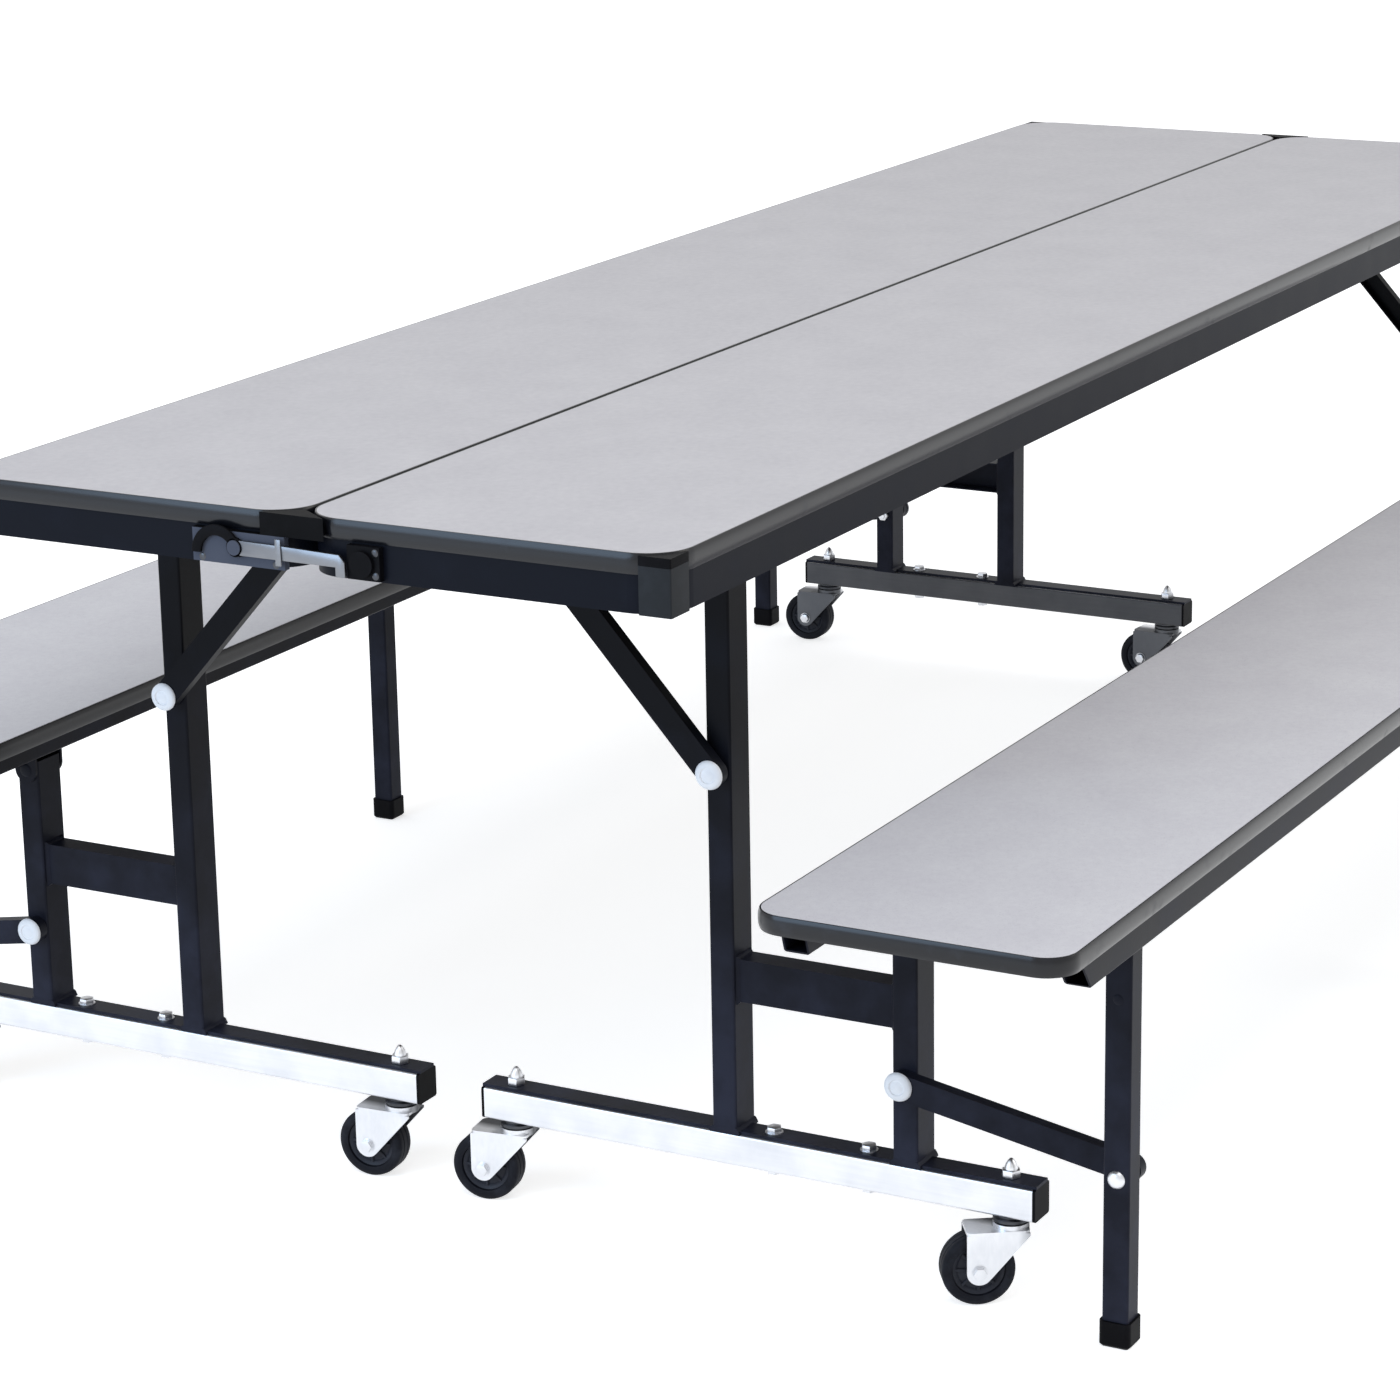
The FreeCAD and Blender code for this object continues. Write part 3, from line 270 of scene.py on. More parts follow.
finishes = {
    # painted light: the top and the seats share one laminate, but the seats' copy is paler and the
    # top's darker, so that the shaded seats and the lit top look equally bright
    "topLaminate": laminateFinish("topLaminate", 0.7185, (184, 182, 186), (173, 171, 176)),
    "seatLaminate": laminateFinish("seatLaminate", 0.4125, (202, 201, 205), (192, 190, 196)),
    "edge": edgeFinish(),
    "powder": powderFinish("blackPowder", (8, 9, 14)),
    # painted light: the aprons' powder coat is a paler, bluer copy of the black one, for the cool
    # light on the aprons
    "apron": powderFinish("apronPowder", (13, 16, 25), True),
    # painted shade on the beams' faces towards the middle of the table
    "beam": zincFinish("beamZinc", (1, 0.04, 1), 226, 0.9775),
    "zinc": zincFinish("partsZinc", (1, 1, 0.4), 228),
    # partly painted shade: the races and seals are darker than the zinc round them, for the shade
    # in the gap under the beam as well as the steel's own tone; the latch and keeper screws share
    # it
    "race": zincFinish("raceSteel", (1, 1, 1), 82),
    "latchSteel": zincFinish("latchSteel", (1, 0.1, 1), 128),
    "cover": plasticFinish("coverWhite", (236, 237, 240), 0.3, (222, 223, 228)),
    "plastic": plasticFinish("blackPlastic", (7, 7, 10), 0.46, (18, 18, 22), sheen=0.06),
    "latchBody": plasticFinish("latchBody", (6, 6, 8), 0.5, (15, 15, 18), 0.7157, 0.06),
    # painted shade on the forks' faces towards the middle of the table
    "fork": zincFinish("forkZinc", (1, 1, 0.4), 228, 0.9921, 0.012, (60, 62, 67)),
    "guard": plasticFinish("cornerSteel", (28, 31, 35), 0.42, (40, 43, 48)),
    "tyre": plasticFinish("tyreBlack", (15, 17, 25), 0.55, (48, 50, 58)),
    "hub": plasticFinish("hubGrey", (46, 48, 56), 0.36, (60, 62, 70)),
}
nodeFinish = {
    "top_board": "topLaminate", "bench_board": "seatLaminate", "top_edge": "edge",
    "bench_edge": "edge", "top_underframe": "apron", "base_beam": "beam", "beam_end": "plastic",
    "caster_fork": "fork", "leg_tips": "plastic", "latch_body": "latchBody",
    "latch_keeper": "plastic",
}
for name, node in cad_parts.items():
    fitting = [finish for start, finish in nodeFinish.items() if name.startswith(start)]
    picked = fitting[0] if fitting else "powder"
    node.data.materials.clear()
    node.data.materials.append(finishes[picked])
print("finishes on all nodes")


# Stock shapes and pieces

def asStock(shape):
    # a closed shape that can be stamped many times
    bmesh.ops.remove_doubles(shape, verts=shape.verts, dist=smallest)
    bmesh.ops.recalc_face_normals(shape, faces=shape.faces)
    stock = bpy.data.meshes.new("stock")
    shape.to_mesh(stock)
    shape.free()
    return stock


def eased(shape, edges, offset, segments=2):
    # rounds these edges of a shape
    bmesh.ops.bevel(shape, geom=edges, offset=offset, segments=segments, affect="EDGES",
                    profile=0.5, material=-1)


def climb(edge):
    # how far an edge goes up or down
    return abs(edge.verts[0].co.z - edge.verts[1].co.z)


def boxPlace(centre, size):
    # brings a unit cube or square to this centre and size
    return Matrix.Translation(centre) @ Matrix.Diagonal((*size, 1))


def drawOut(shape, face, shift):
    # makes a flat face a solid
    drawn = bmesh.ops.extrude_face_region(shape, geom=[face])
    moved = [item for item in drawn["geom"] if isinstance(item, bmesh.types.BMVert)]
    bmesh.ops.translate(shape, vec=shift, verts=moved)


def turned(outline, segments=36):
    # an outline of radius and height pairs, spun about Z
    shape = bmesh.new()
    spots = [shape.verts.new((radius, 0, height)) for radius, height in outline]
    for first, second in zip(spots, spots[1:]):
        shape.edges.new((first, second))
    bmesh.ops.spin(shape, geom=shape.verts[:] + shape.edges[:], cent=(0, 0, 0), axis=(0, 0, 1),
                   dvec=(0, 0, 0), angle=math.tau, steps=segments, use_merge=True)
    return asStock(shape)


def cylinder(radius, height, segments=36):
    # stands on the origin
    return turned([(0, 0), (radius, 0), (radius, height), (0, height)], segments)


def hexagon(across, height, easing=0.7):
    # a nut or bolt head on Z, its edges eased
    shape = bmesh.new()
    radius = across / math.sqrt(3)
    bmesh.ops.create_cone(shape, cap_ends=True, segments=6, radius1=radius, radius2=radius,
                          depth=height, matrix=Matrix.Translation((0, 0, height / 2)))
    eased(shape, [edge for edge in shape.edges if climb(edge) < smallest], easing)
    return asStock(shape)


def block(width, depth, height, easing):
    # a box about the origin with eased edges
    shape = bmesh.new()
    bmesh.ops.create_cube(shape, size=1, matrix=Matrix.Diagonal((width, depth, height, 1)))
    eased(shape, shape.edges[:], easing)
    return asStock(shape)


def makePiece(name, stamps, body, finish, replaced=(), crease=35):
    # stamps are pairs of a stock shape and its place in millimetres
    whole = bmesh.new()
    for stock, place in stamps:
        stamp = stock.copy()
        stamp.transform(place)
        whole.from_mesh(stamp)
        bpy.data.meshes.remove(stamp)
    if any(place.is_negative for stock, place in stamps):
        # a mirror turns a stamp inside out
        bmesh.ops.recalc_face_normals(whole, faces=whole.faces)
    bmesh.ops.scale(whole, vec=(0.001, 0.001, 0.001), verts=whole.verts)
    data = bpy.data.meshes.new(name)
    whole.to_mesh(data)
    whole.free()
    data.materials.append(finishes[finish])
    data.polygons.foreach_set("use_smooth", [True] * len(data.polygons))
    data.set_sharp_from_angle(angle=math.radians(crease))
    piece = bpy.data.objects.new(name, data)
    bpy.context.scene.collection.objects.link(piece)
    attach(piece, body)
    if replaced:
        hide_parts(*replaced)
    return piece


def at(x, y, z, *turns):
    # a place in millimetres, after the turns
    place = Matrix.Translation((x, y, z))
    for turn in turns:
        place = place @ turn
    return place


def unitEnds():
    # each unit's own two ends: unit name, its turn, side of X, and near or far on the whole table
    for hand, turn in units.items():
        for end in (-1, 1):
            isNear = (end < 0) == (hand == "left")
            yield hand, turn, end, "near" if isNear else "far"


def outward(end):
    # lays a shape's own Z along X, pointing out of the table at that end
    return Matrix.Rotation(end * math.pi / 2, 4, "Y")


# Edge mouldings round the boards

edgings = {                            # inner and outer |Y|, top, thickness and corner of each
    "top": (0.5, 384, 737, 19, 45),
    "bench": (450, 751, 430, 18, 32),
}
mouldSizes = {"band": 3, "crown": 1.5, "rows": 8, "segments": 14, "lip": 0.35}


def edging(kind):
    # a rounded slab, hollowed to a ring, whose outer face is crowned between two soft lips
    seam, reach, top, thickness, corner = edgings[kind]
    middle = top - thickness / 2
    shape = bmesh.new()
    place = boxPlace((0, (seam + reach) / 2, middle), (2 * table["half"], reach - seam, thickness))
    bmesh.ops.create_cube(shape, size=1, matrix=place)
    eased(shape, [edge for edge in shape.edges if climb(edge) > 1], corner, mouldSizes["segments"])
    flats = [face for face in shape.faces if abs(face.normal.z) > 0.9]
    bmesh.ops.inset_region(shape, faces=flats, thickness=mouldSizes["band"], use_even_offset=True)
    flats = [face for face in shape.faces if len(face.verts) > 4]
    bmesh.ops.delete(shape, geom=flats, context="FACES")
    rims = [edge for edge in shape.edges if edge.is_boundary]
    bmesh.ops.bridge_loops(shape, edges=rims)
    bmesh.ops.remove_doubles(shape, verts=shape.verts, dist=smallest)
    bmesh.ops.recalc_face_normals(shape, faces=shape.faces)
    for row in range(1, mouldSizes["rows"]):
        level = top - thickness * row / mouldSizes["rows"]
        bmesh.ops.bisect_plane(shape, geom=shape.verts[:] + shape.edges[:] + shape.faces[:],
                               plane_co=(0, 0, level), plane_no=(0, 0, 1), dist=smallest)
    shape.normal_update()
    outer = {vert for face in shape.faces if abs(face.normal.z) < 0.5 for vert in face.verts
             if isOuter(vert.co, seam, reach, corner)}
    for vert in outer:
        flat = Vector((vert.normal.x, vert.normal.y, 0)).normalized()
        away = abs(vert.co.z - middle) * 2 / thickness
        vert.co -= flat * mouldSizes["crown"] * away ** 2.4
    lips = [edge for edge in shape.edges if edge.verts[0] in outer and edge.verts[1] in outer
            and climb(edge) < smallest
            and abs(abs(edge.verts[0].co.z - middle) - thickness / 2) < smallest]
    eased(shape, lips, mouldSizes["lip"])
    return asStock(shape)


def isOuter(spot, seam, reach, corner):
    # on the outline itself, not on the inner wall of the band
    inX = table["half"] - corner
    inLow, inHigh = seam + corner, reach - corner
    dx = max(abs(spot.x) - inX, 0)
    dy = max(spot.y - inHigh, inLow - spot.y, 0)
    return math.hypot(dx, dy) > corner - 1


def mouldings():
    for kind in edgings:
        stock = edging(kind)
        for hand, turn in units.items():
            makePiece(f"{kind}Moulding_{hand}", [(stock, turn)], f"{kind}_{hand}", "edge",
                      [f"{kind}_edge_{hand}"])


mouldings()
print("edge mouldings made")


# Stems, acorn nuts, foot bolts and hinge pins

stemSizes = {"across": 16, "nut": 8, "dome": 6.2, "top": 18.5, "shank": 5.5, "length": 52,
             "race": 17, "stemZ": 69, "raceZ": 78.8}
footSizes = {
    "reaches": (349.7, 449.3),
    "across": 13,
    "head": 5.2,
    "washer": (8.6, 1.1),              # radius and thickness
    "nut": 6,
    "length": 41,
    "shankZ": 79.5,
    "nutZ": 80.2,
    "lowWasherZ": 85.1,
}
pinSizes = {"shank": 4, "length": 46, "head": 7, "height": 1.2, "proud": 3.6, "between": 45.3}
hingePlaces = (                        # |Y| and Z of the top's hinge and of the bench's
    (table["uprightReach"], 664),
    (table["postReach"], 372),
)


def frameFasteners():
    top, dome, flare = stemSizes["top"], stemSizes["dome"], stemSizes["race"]
    acorn = turned([(0, top), (1.3, top - 0.3), (2.8, top - 1.6), (4.4, 14.6), (5.6, 12.0),
                    (dome, 9.6), (dome, 7), (0, 7)])
    acornFlange = hexagon(stemSizes["across"], stemSizes["nut"], 0.9)
    r, h = stemSizes["shank"], stemSizes["length"]
    stem = turned([(0, 0), (8, 0), (8, 2.4), (r, 2.4), (r, h), (0, h)])
    race = turned([(0, 0), (15.5, 0), (flare, 1.4), (flare, 4.2), (14.2, 5.6), (14.2, 7.4),
                   (0, 7.4)], 48)
    head = hexagon(footSizes["across"], footSizes["head"])
    washer = cylinder(*footSizes["washer"])
    h = footSizes["length"]
    shank = turned([(0, 0), (3.6, 0), (4, 0.5), (4, h), (0, h)], 20)
    nut = hexagon(footSizes["across"], footSizes["nut"])
    pin = cylinder(pinSizes["shank"], pinSizes["length"], 24)
    h = pinSizes["height"]
    rivet = turned([(0, h), (3, h * 0.9), (5.6, h * 0.55), (pinSizes["head"], 0), (0, 0)])
    stamps, races, hinges = [], [], []
    for hand, turn, end, where in unitEnds():
        x, z = end * stemX, table["footTop"]
        for y in table["casterReach"].values():
            stamps += [(acornFlange, turn @ at(x, y, z)), (acorn, turn @ at(x, y, z)),
                       (stem, turn @ at(x, y, stemSizes["stemZ"]))]
            races.append((race, turn @ at(x, y, stemSizes["raceZ"])))
        for y in footSizes["reaches"]:
            stamps += [(washer, turn @ at(x, y, z)), (head, turn @ at(x, y, z + 1)),
                       (shank, turn @ at(x, y, footSizes["shankZ"])),
                       (nut, turn @ at(x, y, footSizes["nutZ"])),
                       (washer, turn @ at(x, y, footSizes["lowWasherZ"]))]
        x = end * (frameFace + pinSizes["proud"])
        for y, z in hingePlaces:
            hinges += [(pin, turn @ at(x - end * pinSizes["length"], y, z, outward(end))),
                       (rivet, turn @ at(x, y, z, outward(end))),
                       (rivet, turn @ at(x - end * pinSizes["between"], y, z, outward(-end)))]
    makePiece("frameFasteners", stamps, "frames", "zinc", ["frame_bolts"])
    makePiece("casterRaces", races, "frames", "race", ["frame_bolts"])
    makePiece("hingePins", hinges, "frames", "powder", ["frame_bolts"])


frameFasteners()
print("frame fasteners made")


# Pivot covers and the nuts behind the tubes

coverSizes = {"radius": 14, "height": 4}
pivotSizes = {"arm": 12.7, "play": 0.3, "spacer": 7, "bolt": 4, "inArm": 12.9, "tail": 8.2}
pivotPlaces = (                        # |Y|, Z and the arm's gap to the frame: brace, strut
    (table["uprightReach"], 476.5, 5.4),
    (table["postReach"], 202, 1),
)


def pivotParts():
    r, h = coverSizes["radius"], coverSizes["height"]
    play, length = pivotSizes["play"], pivotSizes["tail"]
    cover = turned([(0, h * 0.86), (r * 0.36, h * 0.84), (r * 0.42, h * 0.7), (r * 0.5, h * 0.7),
                    (r * 0.56, h), (r * 0.74, h * 0.94), (r * 0.9, h * 0.68), (r * 0.98, h * 0.34),
                    (r, 0), (0, 0)], 56)
    nut = hexagon(13, 6)
    tail = turned([(0, 0), (3.5, 0), (3.9, 0.6), (3.9, length), (0, length)], 20)
    covers, nuts = [], []
    for hand, turn, end, where in unitEnds():
        front, back = end * frameFace, end * (frameFace - table["tubeDepth"])
        for y, z, gap in pivotPlaces:
            face = end * (frameFace + gap + pivotSizes["arm"] + play)
            covers.append((cover, turn @ at(face, y, z, outward(end))))
            spacer = cylinder(pivotSizes["spacer"], gap - play)
            bolt = cylinder(pivotSizes["bolt"], gap + pivotSizes["inArm"], 20)
            nuts += [(spacer, turn @ at(front, y, z, outward(end))),
                     (nut, turn @ at(back, y, z, outward(-end))),
                     (tail, turn @ at(back - end * length, y, z, outward(end))),
                     (bolt, turn @ at(front, y, z, outward(end)))]
    makePiece("pivotCovers", covers, "frames", "cover", ["pivot_bolts"])
    makePiece("pivotNuts", nuts, "frames", "zinc", ["pivot_bolts"])


pivotParts()
print("pivot covers made")


# Pins and bolts of the outer legs

legBoltSizes = {"height": 162, "cap": 8.5, "capX": 1048.2, "nutX": 1009, "tailX": 1003.3,
                "length": 45}
legPinSizes = {"height": 332, "length": 26.4, "rivetX": 12.7, "middles": (-1035.5, 0, 1035.5)}


def legFasteners():
    cap = turned([(0, 4), (3.4, 3.8), (5.8, 3.0), (7.6, 1.6), (legBoltSizes["cap"], 0), (0, 0)])
    rivet = turned([(0, 1.2), (2.2, 1.1), (4, 0.7), (5, 0), (0, 0)])
    nut = hexagon(13, 6)
    bolt = cylinder(4, legBoltSizes["length"], 20)
    pin = cylinder(4, legPinSizes["length"], 20)
    y = table["legReach"]
    for hand, turn in units.items():
        z, stamps, hinges = legBoltSizes["height"], [], []
        for end in (-1, 1):
            stamps += [(cap, turn @ at(end * legBoltSizes["capX"], y, z, outward(end))),
                       (nut, turn @ at(end * legBoltSizes["nutX"], y, z, outward(-end))),
                       (bolt, turn @ at(end * legBoltSizes["tailX"], y, z, outward(end)))]
        makePiece(f"legFasteners_{hand}", stamps, f"legs_{hand}", "zinc",
                  [f"leg_bolts_{hand}"])
        z = legPinSizes["height"]
        for middle in legPinSizes["middles"]:
            hinges.append((pin, turn @ at(middle - legPinSizes["length"] / 2, y, z, outward(1))))
            for side in (-1, 1):
                x = middle + side * legPinSizes["rivetX"]
                hinges.append((rivet, turn @ at(x, y, z, outward(side))))
        makePiece(f"legHinges_{hand}", hinges, f"legs_{hand}", "powder",
                  [f"leg_bolts_{hand}"])


legFasteners()
print("leg fasteners made")


# Caster wheels

casters = {                            # how far the trail of each is turned, in degrees
    "near_left_inner": 5,
    "near_left_outer": -9,
    "far_left_inner": -4,
    "far_left_outer": 3,
    "near_right_inner": 8,
    "near_right_outer": 34,
    "far_right_inner": 12,
    "far_right_outer": -8,
}
wheelSizes = {
    "radius": 34.5,
    "halfWidth": 12.5,
    "halfHub": 14.7,
    "trail": 31.5,
    "spokes": 8,
    "washerX": 17.5,
    "nutX": 18.2,
    "sealZ": 74.6,
}


def bothSides(half):
    # one side of a wheel's outline, mirrored and closed
    return half + [(radius, -height) for radius, height in reversed(half)] + half[:1]


def casterParts():
    r, w, h = wheelSizes["radius"], wheelSizes["halfWidth"], wheelSizes["halfHub"]
    tyre = turned(bothSides([(r * 0.7, w * 0.7), (r * 0.72, w * 0.94), (r * 0.78, w), (r - 5, w),
                             (r - 2, w - 0.7), (r - 0.5, w - 2.2), (r, w - 4.4), (r, 4.6),
                             (r - 0.9, 4.2), (r - 0.9, 3.4), (r, 3.0)]), 72)
    hub = turned(bothSides([(4.3, h), (8, h), (9.4, 13.6), (9.4, 9), (11, 7), (r * 0.56, 6.4),
                            (r * 0.62, 8.6), (r * 0.7, 9.4), (r * 0.71, 8.5)]), 60)
    spoke = block(r * 0.62 - 8, 2.6, 17.4, 0.7)
    head = hexagon(11, 3.4, 0.5)
    washer = cylinder(7.4, 0.9)
    seal = turned([(0, 0), (15.2, 0), (16.6, 0.9), (16.6, 1.6), (15.2, 2.2), (0, 2.2)], 44)
    for name, degrees in casters.items():
        where, hand, row = name.split("_")
        end, side = 1 if where == "far" else -1, 1 if hand == "left" else -1
        stand = at(end * stemX, side * table["casterReach"][row], 0,
                   Matrix.Rotation(math.radians(degrees), 4, "Z"))
        axle = stand @ at(0, wheelSizes["trail"], r, layAlongX)
        makePiece(f"tyre_{name}", [(tyre, axle)], f"caster_wheel_{name}", "tyre",
                  [f"caster_wheel_{name}"])
        spokes = [(spoke, axle @ Matrix.Rotation(math.tau * count / wheelSizes["spokes"], 4, "Z")
                   @ at(r * 0.31 + 4, 0, 0)) for count in range(wheelSizes["spokes"])]
        makePiece(f"hub_{name}", [(hub, axle)] + spokes, f"caster_wheel_{name}", "hub")
        nuts = []
        for way in (1, -1):
            flip = Matrix.Identity(4) if way > 0 else Matrix.Rotation(math.pi, 4, "X")
            nuts += [(washer, axle @ at(0, 0, way * wheelSizes["washerX"], flip)),
                     (head, axle @ at(0, 0, way * wheelSizes["nutX"], flip))]
        makePiece(f"axleNuts_{name}", nuts, f"caster_fork_{name}", "zinc")
        makePiece(f"raceSeal_{name}", [(seal, stand @ at(0, 0, wheelSizes["sealZ"]))],
                  f"caster_fork_{name}", "race")


casterParts()
print("casters made")


# Corner guards of the tops: square outside, round inside against the board's corner

guardSizes = {"leg": 32, "low": 683.2, "high": 727, "cap": 736, "easing": 1.4, "arcRadius": 44.6,
              "steps": 8}


def cornerBlock(low, high):
    leg, reach, half = guardSizes["leg"], edgings["top"][1], table["half"]
    corner = edgings["top"][4]
    middle = (half - corner, reach - corner)
    outline = [(half, reach - leg), (half, reach), (half - leg, reach)]
    first = math.asin((corner - leg) / corner)
    for step in range(guardSizes["steps"] + 1):
        angle = math.pi / 2 - first - (math.pi / 2 - 2 * first) * step / guardSizes["steps"]
        outline.append((middle[0] + guardSizes["arcRadius"] * math.cos(angle),
                        middle[1] + guardSizes["arcRadius"] * math.sin(angle)))
    shape = bmesh.new()
    face = shape.faces.new([shape.verts.new((x, y, low)) for x, y in outline])
    drawOut(shape, face, (0, 0, high - low))
    sharp = [edge for edge in shape.edges if min(vert.co.x - half + leg for vert in edge.verts) > 1
             and min(vert.co.y - reach + leg for vert in edge.verts) > 1
             and min(vert.co.x + vert.co.y for vert in edge.verts) > half + reach - 1]
    eased(shape, sharp, guardSizes["easing"], 3)
    return asStock(shape)


def cornerGuards():
    guard = cornerBlock(guardSizes["low"], guardSizes["high"])
    # painted shade: a black plastic cap fills the corner above the guard up to the board's top,
    # standing in for the shade there
    cap = cornerBlock(guardSizes["high"] + 0.2, guardSizes["cap"])
    for hand, turn in units.items():
        other = turn @ mirrorX
        makePiece(f"cornerGuards_{hand}", [(guard, turn), (guard, other)], f"top_{hand}", "guard")
        makePiece(f"cornerCaps_{hand}", [(cap, turn), (cap, other)], f"top_{hand}", "plastic")


cornerGuards()
print("corner guards made")


# Stringers under the benches, their ends cut back

stringerSizes = {
    "width": 25,
    "height": 24,
    "wall": 2,
    "corner": 2.5,
    "mouth": 40,
    "inner": (485, 22, 30),            # middle |Y|, cut at the top and at the bottom of its end
    "outer": (736.5, 42, 60),
}


def stringer(y, upper, lower):
    low, high = table["benchBottom"] - stringerSizes["height"], table["benchBottom"]
    half = table["half"]
    shape = bmesh.new()
    place = boxPlace((0, y, (low + high) / 2), (2 * half, stringerSizes["width"], high - low))
    bmesh.ops.create_cube(shape, size=1, matrix=place)
    for vert in shape.verts:
        cut = upper if vert.co.z > (low + high) / 2 else lower
        vert.co.x = math.copysign(half - cut, vert.co.x)
    along = [edge for edge in shape.edges if abs(edge.verts[0].co.x - edge.verts[1].co.x) > 100
             and edge.verts[0].co.z < low + 1]
    eased(shape, along, stringerSizes["corner"], 4)
    shape.normal_update()
    for face in [face for face in shape.faces if abs(face.normal.x) > 0.6]:
        way = math.copysign(1, face.normal.x)
        bmesh.ops.inset_region(shape, faces=[face], thickness=stringerSizes["wall"],
                               use_even_offset=True)
        grown = bmesh.ops.extrude_discrete_faces(shape, faces=[face])["faces"][0]
        bmesh.ops.translate(shape, vec=(-way * stringerSizes["mouth"], 0, 0), verts=grown.verts)
    return asStock(shape)


def stringers():
    pair = [stringer(*stringerSizes[name]) for name in ("inner", "outer")]
    for hand, turn in units.items():
        makePiece(f"stringers_{hand}", [(stock, turn) for stock in pair], f"bench_{hand}", "powder",
                  [f"bench_stringers_{hand}"])


stringers()
print("stringers made")


# Seam latches: moulded grip, steel shank with its hook, and the screws of plate and keeper

latchSizes = {
    "back": 1236.9,                    # |X| of the lever's back
    "thick": 3.5,
    "pivot": (60, 702),
    "gripCentre": (80, 694),
    "gripInner": 17,
    "gripOuter": 27,
    "strap": 1.1,
    "strapGap": 0.1,
    "plateFace": 1236,
    "plateScrews": ((18, 689.2), (98, 689.2)),
    "keeperScrews": ((-87.5, 690), (-87.5, 711)),
}


def slab(outline, thickness, easing):
    # a flat outline in Y and Z, thickened towards X and eased
    shape = bmesh.new()
    face = shape.faces.new([shape.verts.new((0, y, z)) for y, z in outline])
    bmesh.ops.recalc_face_normals(shape, faces=[face])
    drawOut(shape, face, (thickness, 0, 0))
    bmesh.ops.recalc_face_normals(shape, faces=shape.faces)
    eased(shape, shape.edges[:], easing)
    return asStock(shape)


def halfRing(inner, outer, thickness, easing, steps=28):
    # an arch about X, open below, with a rounded section
    shape = bmesh.new()
    place = boxPlace((thickness / 2, (inner + outer) / 2, 0), (thickness, outer - inner, 0))
    bmesh.ops.create_grid(shape, x_segments=1, y_segments=1, size=0.5, matrix=place)
    bmesh.ops.bevel(shape, geom=shape.verts[:], offset=easing, segments=3, affect="VERTICES",
                    profile=0.5, material=-1)
    bmesh.ops.spin(shape, geom=shape.faces[:], cent=(0, 0, 0), axis=(1, 0, 0), dvec=(0, 0, 0),
                   angle=math.pi, steps=steps, use_duplicate=False)
    bmesh.ops.recalc_face_normals(shape, faces=shape.faces)
    return asStock(shape)


def latchParts():
    back, thick = latchSizes["back"], latchSizes["thick"]
    shank = slab([(66, 695), (66, 709), (10, 708.4), (-52, 706.7), (-58, 700), (-58, 686),
                  (-48, 686), (-48, 695)], thick, 0.6)
    strap = slab([(9, 690), (15, 690), (15, 714.5), (9, 714.5)], latchSizes["strap"], 0.3)
    arch = halfRing(latchSizes["gripInner"], latchSizes["gripOuter"], thick, 1.1)
    hub = turned([(0, 0), (9, 0), (9, 2.9), (8.4, 3.5), (0, 3.5)], 40)
    screw = turned([(0, 0.8), (1.8, 0.74), (3.1, 0.45), (3.6, 0), (0, 0)], 20)
    for where, end in (("near", -1), ("far", 1)):
        flip = Matrix.Identity(4) if end > 0 else mirrorX
        grip = [(arch, flip @ at(back, *latchSizes["gripCentre"])),
                (hub, flip @ at(back, *latchSizes["pivot"], layAlongX))]
        makePiece(f"latchGrip_{where}", grip, f"latch_lever_{where}", "plastic",
                  [f"latch_lever_{where}"])
        strapFace = back + thick + latchSizes["strapGap"]
        steel = [(shank, flip @ at(back, 0, 0)), (strap, flip @ at(strapFace, 0, 0))]
        makePiece(f"latchShank_{where}", steel, f"latch_lever_{where}", "latchSteel",
                  [f"latch_lever_{where}"])
        face = latchSizes["plateFace"]
        plateScrews = [(screw, flip @ at(face, y, z, layAlongX))
                       for y, z in latchSizes["plateScrews"]]
        makePiece(f"latchScrews_{where}", plateScrews, "top_left", "race")
        keeperScrews = [(screw, flip @ at(face, y, z, layAlongX))
                        for y, z in latchSizes["keeperScrews"]]
        makePiece(f"keeperScrews_{where}", keeperScrews, "top_right", "race")


latchParts()
print("latches made")


# Screws under the boards

screwSizes = {"radius": 4.6, "height": 2.8, "recess": 1.3}
screwPlaces = {                        # X, Y and height of the heads
    "top": ((-989.05, 989.05), (48, 140, 232, 352), 694),
    "bench": ((-1150, -760, -380, 90, 380, 760, 1150), (485, 736.5), 388),
}


def underScrews():
    r, h = screwSizes["radius"], screwSizes["height"]
    floor = -h + screwSizes["recess"]
    screw = turned([(0, floor), (1.1, floor), (1.3, -h), (2.6, -h * 0.94), (3.9, -h * 0.6),
                    (r, 0), (0, 0)], 20)
    for hand, turn in units.items():
        spots, rows, z = screwPlaces["top"]
        stamps = [(screw, turn @ at(x, y, z)) for x in spots for y in rows]
        makePiece(f"topScrews_{hand}", stamps, f"top_{hand}", "zinc")
        spots, rows, z = screwPlaces["bench"]
        stamps = [(screw, turn @ at(x, y, z)) for y in rows for x in spots]
        makePiece(f"benchScrews_{hand}", stamps, f"bench_{hand}", "zinc")


underScrews()
print("screws made")


# Weld beads where the tubes stand on the flat bar and where the rail meets them

weldSizes = {"reach": 3.2, "rise": 6, "ripple": 0.4, "sag": 0.5, "inFront": 0.3}
railWeld = {"depth": 42, "reach": 2.6, "rise": 3.4, "height": 271, "faces": (317.7, 481.3)}


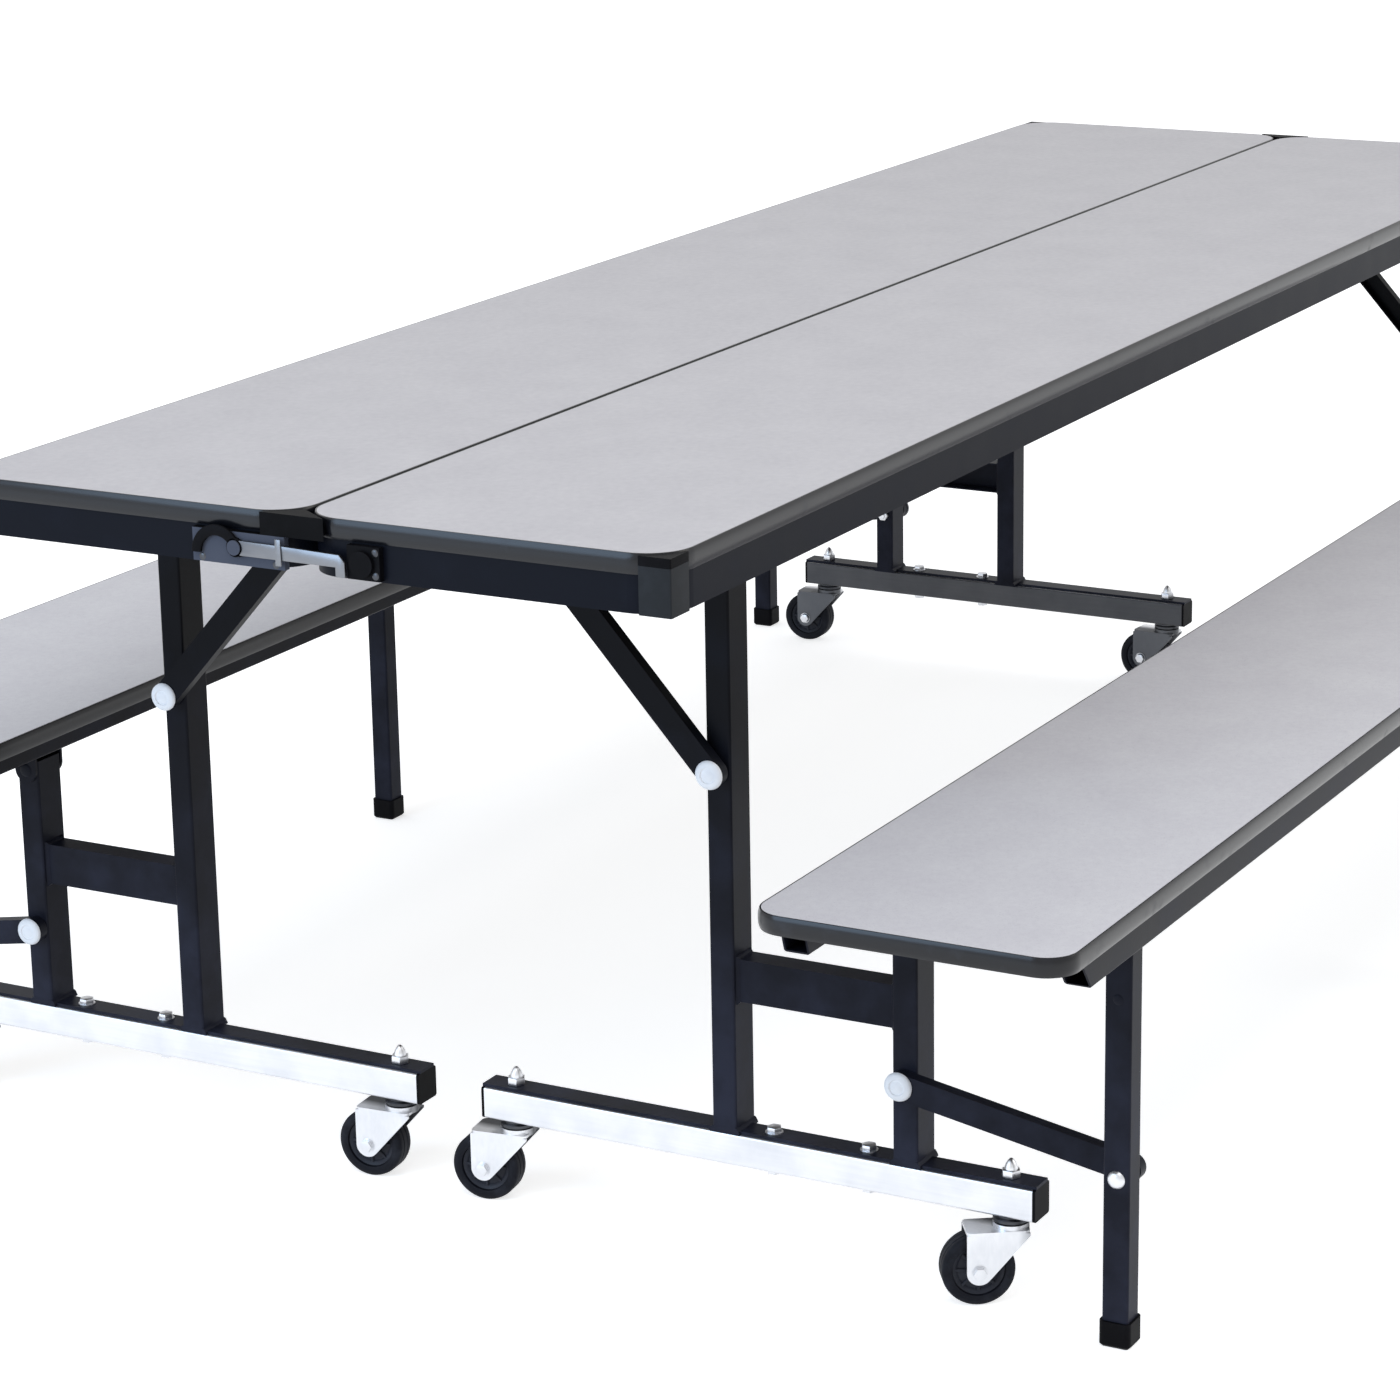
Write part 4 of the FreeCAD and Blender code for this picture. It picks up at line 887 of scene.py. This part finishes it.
def weldSkirt(width, depth, sideways, forwards, rise):
    # a bead round the foot of a tube, rippled as it was laid
    shape = bmesh.new()
    place = boxPlace((0, 0, rise / 2), (width + 2 * sideways, depth + 2 * forwards, rise))
    bmesh.ops.create_cube(shape, size=1, matrix=place)
    for vert in shape.verts:
        if vert.co.z > rise / 2:
            vert.co.x *= (width + 0.2) / (width + 2 * sideways)
            vert.co.y *= (depth + 0.4) / (depth + 2 * forwards)
    bmesh.ops.subdivide_edges(shape, edges=shape.edges[:], cuts=9, use_grid_fill=True)
    for vert in shape.verts:
        if 0.05 < vert.co.z < rise - 0.05 and abs(vert.co.y) > depth / 2:
            swell = noise.noise(vert.co * 0.55) * weldSizes["ripple"]
            sag = -weldSizes["sag"] * math.sin(math.pi * vert.co.z / rise)
            vert.co.y += math.copysign(swell + sag, vert.co.y)
    return asStock(shape)


def welds():
    foot = weldSkirt(table["tubeDepth"], table["tubeWidth"], weldSizes["inFront"],
                     weldSizes["reach"], weldSizes["rise"])
    reach, z = railWeld["reach"], railWeld["height"]
    rail = weldSkirt(table["tubeWidth"], railWeld["depth"], reach, reach, railWeld["rise"])
    towardsUpright = Matrix.Rotation(-math.pi / 2, 4, "X")
    nearUpright, nearPost = railWeld["faces"]
    for hand, turn, end, where in unitEnds():
        x = end * (frameFace - table["tubeDepth"] / 2)
        stamps = [(foot, turn @ at(x, table["uprightReach"], table["beamTop"])),
                  (foot, turn @ at(x, table["postReach"], table["beamTop"])),
                  (rail, turn @ at(x, nearUpright, z, towardsUpright)),
                  (rail, turn @ at(x, nearPost, z, towardsUpright.inverted()))]
        makePiece(f"welds_{where}_{hand}", stamps, "frames", "powder", crease=50)


# Camera, floor, sky and lamps

cameraPlace = {
    "spot": (-4.2025204, -2.0426597, 1.5943589),
    "yaw": 0.502228268,
    "pitch": -0.281293141,
    "roll": -0.017946621,
    "lens": 106.35074,
    "shift": (-0.000839, 0.0000936),
}


def addCamera():
    data = bpy.data.cameras.new("camera")
    data.sensor_width = 36
    data.lens = cameraPlace["lens"]
    data.shift_x, data.shift_y = cameraPlace["shift"]
    data.clip_end = 200
    camera = bpy.data.objects.new("camera", data)
    yaw, pitch, roll = cameraPlace["yaw"], cameraPlace["pitch"], cameraPlace["roll"]
    ahead = Vector((math.cos(yaw) * math.cos(pitch), math.sin(yaw) * math.cos(pitch),
                    math.sin(pitch)))
    right = ahead.cross(Vector((0, 0, 1))).normalized()
    up = right.cross(ahead)
    leanRight = right * math.cos(roll) + up * math.sin(roll)
    leanUp = up * math.cos(roll) - right * math.sin(roll)
    turn = Matrix((leanRight, leanUp, -ahead)).transposed().to_4x4()
    camera.matrix_world = Matrix.Translation(cameraPlace["spot"]) @ turn
    bpy.context.scene.collection.objects.link(camera)
    bpy.context.scene.camera = camera


floorLook = {"shade": 0.86, "lift": 0.66, "half": 30, "height": -0.0003}


def addFloor():
    finish, flow, place = newFinish("paleFloor")
    seen = flow.node("LightPath", out="Is Camera Ray") + flow.node("LightPath", out="Is Glossy Ray")
    matt = flow.node("BsdfDiffuse", None, {"Color": (floorLook["shade"],) * 3 + (1,)})
    lift = seen * floorLook["lift"]
    glow = flow.node("Emission", None, {"Color": (1, 1, 1, 1), "Strength": lift})
    both = flow.node("AddShader", None, {0: matt, 1: glow})
    flow.node("OutputMaterial", None, {"Surface": both})
    shape = bmesh.new()
    bmesh.ops.create_grid(shape, x_segments=1, y_segments=1, size=floorLook["half"])
    data = bpy.data.meshes.new("floor")
    shape.to_mesh(data)
    shape.free()
    data.materials.append(finish)
    floor = bpy.data.objects.new("floor", data)
    floor.location.z = floorLook["height"]
    bpy.context.scene.collection.objects.link(floor)


def addSky():
    world = bpy.data.worlds.new("studio")
    bpy.context.scene.world = world
    world.use_nodes = True
    world.node_tree.nodes.clear()
    flow = Flow(world.node_tree)
    camera = flow.node("LightPath", out="Is Camera Ray")
    gloss = flow.node("LightPath", out="Is Glossy Ray")
    through = flow.node("LightPath", out="Is Transmission Ray")
    seen = (camera + gloss + through) > 0.5
    plain = flow.node("Background", None, {"Color": (0.96, 0.98, 1, 1), "Strength": 0.72})
    white = flow.node("Background", None, {"Color": (1, 1, 1, 1), "Strength": 1.0})
    mixed = flow.node("MixShader", None, {0: seen, 1: plain, 2: white})
    flow.node("OutputWorld", None, {"Surface": mixed})


lampTarget = (0, 0, 0.4)
lamps = {                              # place, size, power and tint of each soft lamp
    "key": ((-2.4, -1.0, 4.2), 3.2, 62, (1, 1, 1)),
    "endFill": ((-4.6, 1.7, 1.7), 2.4, 66, (0.5, 0.72, 1)),
    "sideFill": ((0.8, -4.4, 2.6), 2.6, 34, (1, 0.95, 0.88)),
}


def addLamps():
    for name, (spot, size, power, tint) in lamps.items():
        data = bpy.data.lights.new(name, "AREA")
        data.shape = "DISK"
        data.size = size
        data.energy = power
        data.color = tint
        lamp = bpy.data.objects.new(name, data)
        lamp.location = spot
        lamp.rotation_mode = "QUATERNION"
        aim = Vector(lampTarget) - Vector(spot)
        lamp.rotation_quaternion = aim.to_track_quat("-Z", "Y")
        bpy.context.scene.collection.objects.link(lamp)


welds()
print("welds made")
addCamera()
addFloor()
addSky()
addLamps()
bpy.context.scene.view_settings.view_transform = "Standard"
print("camera, floor and lamps set")
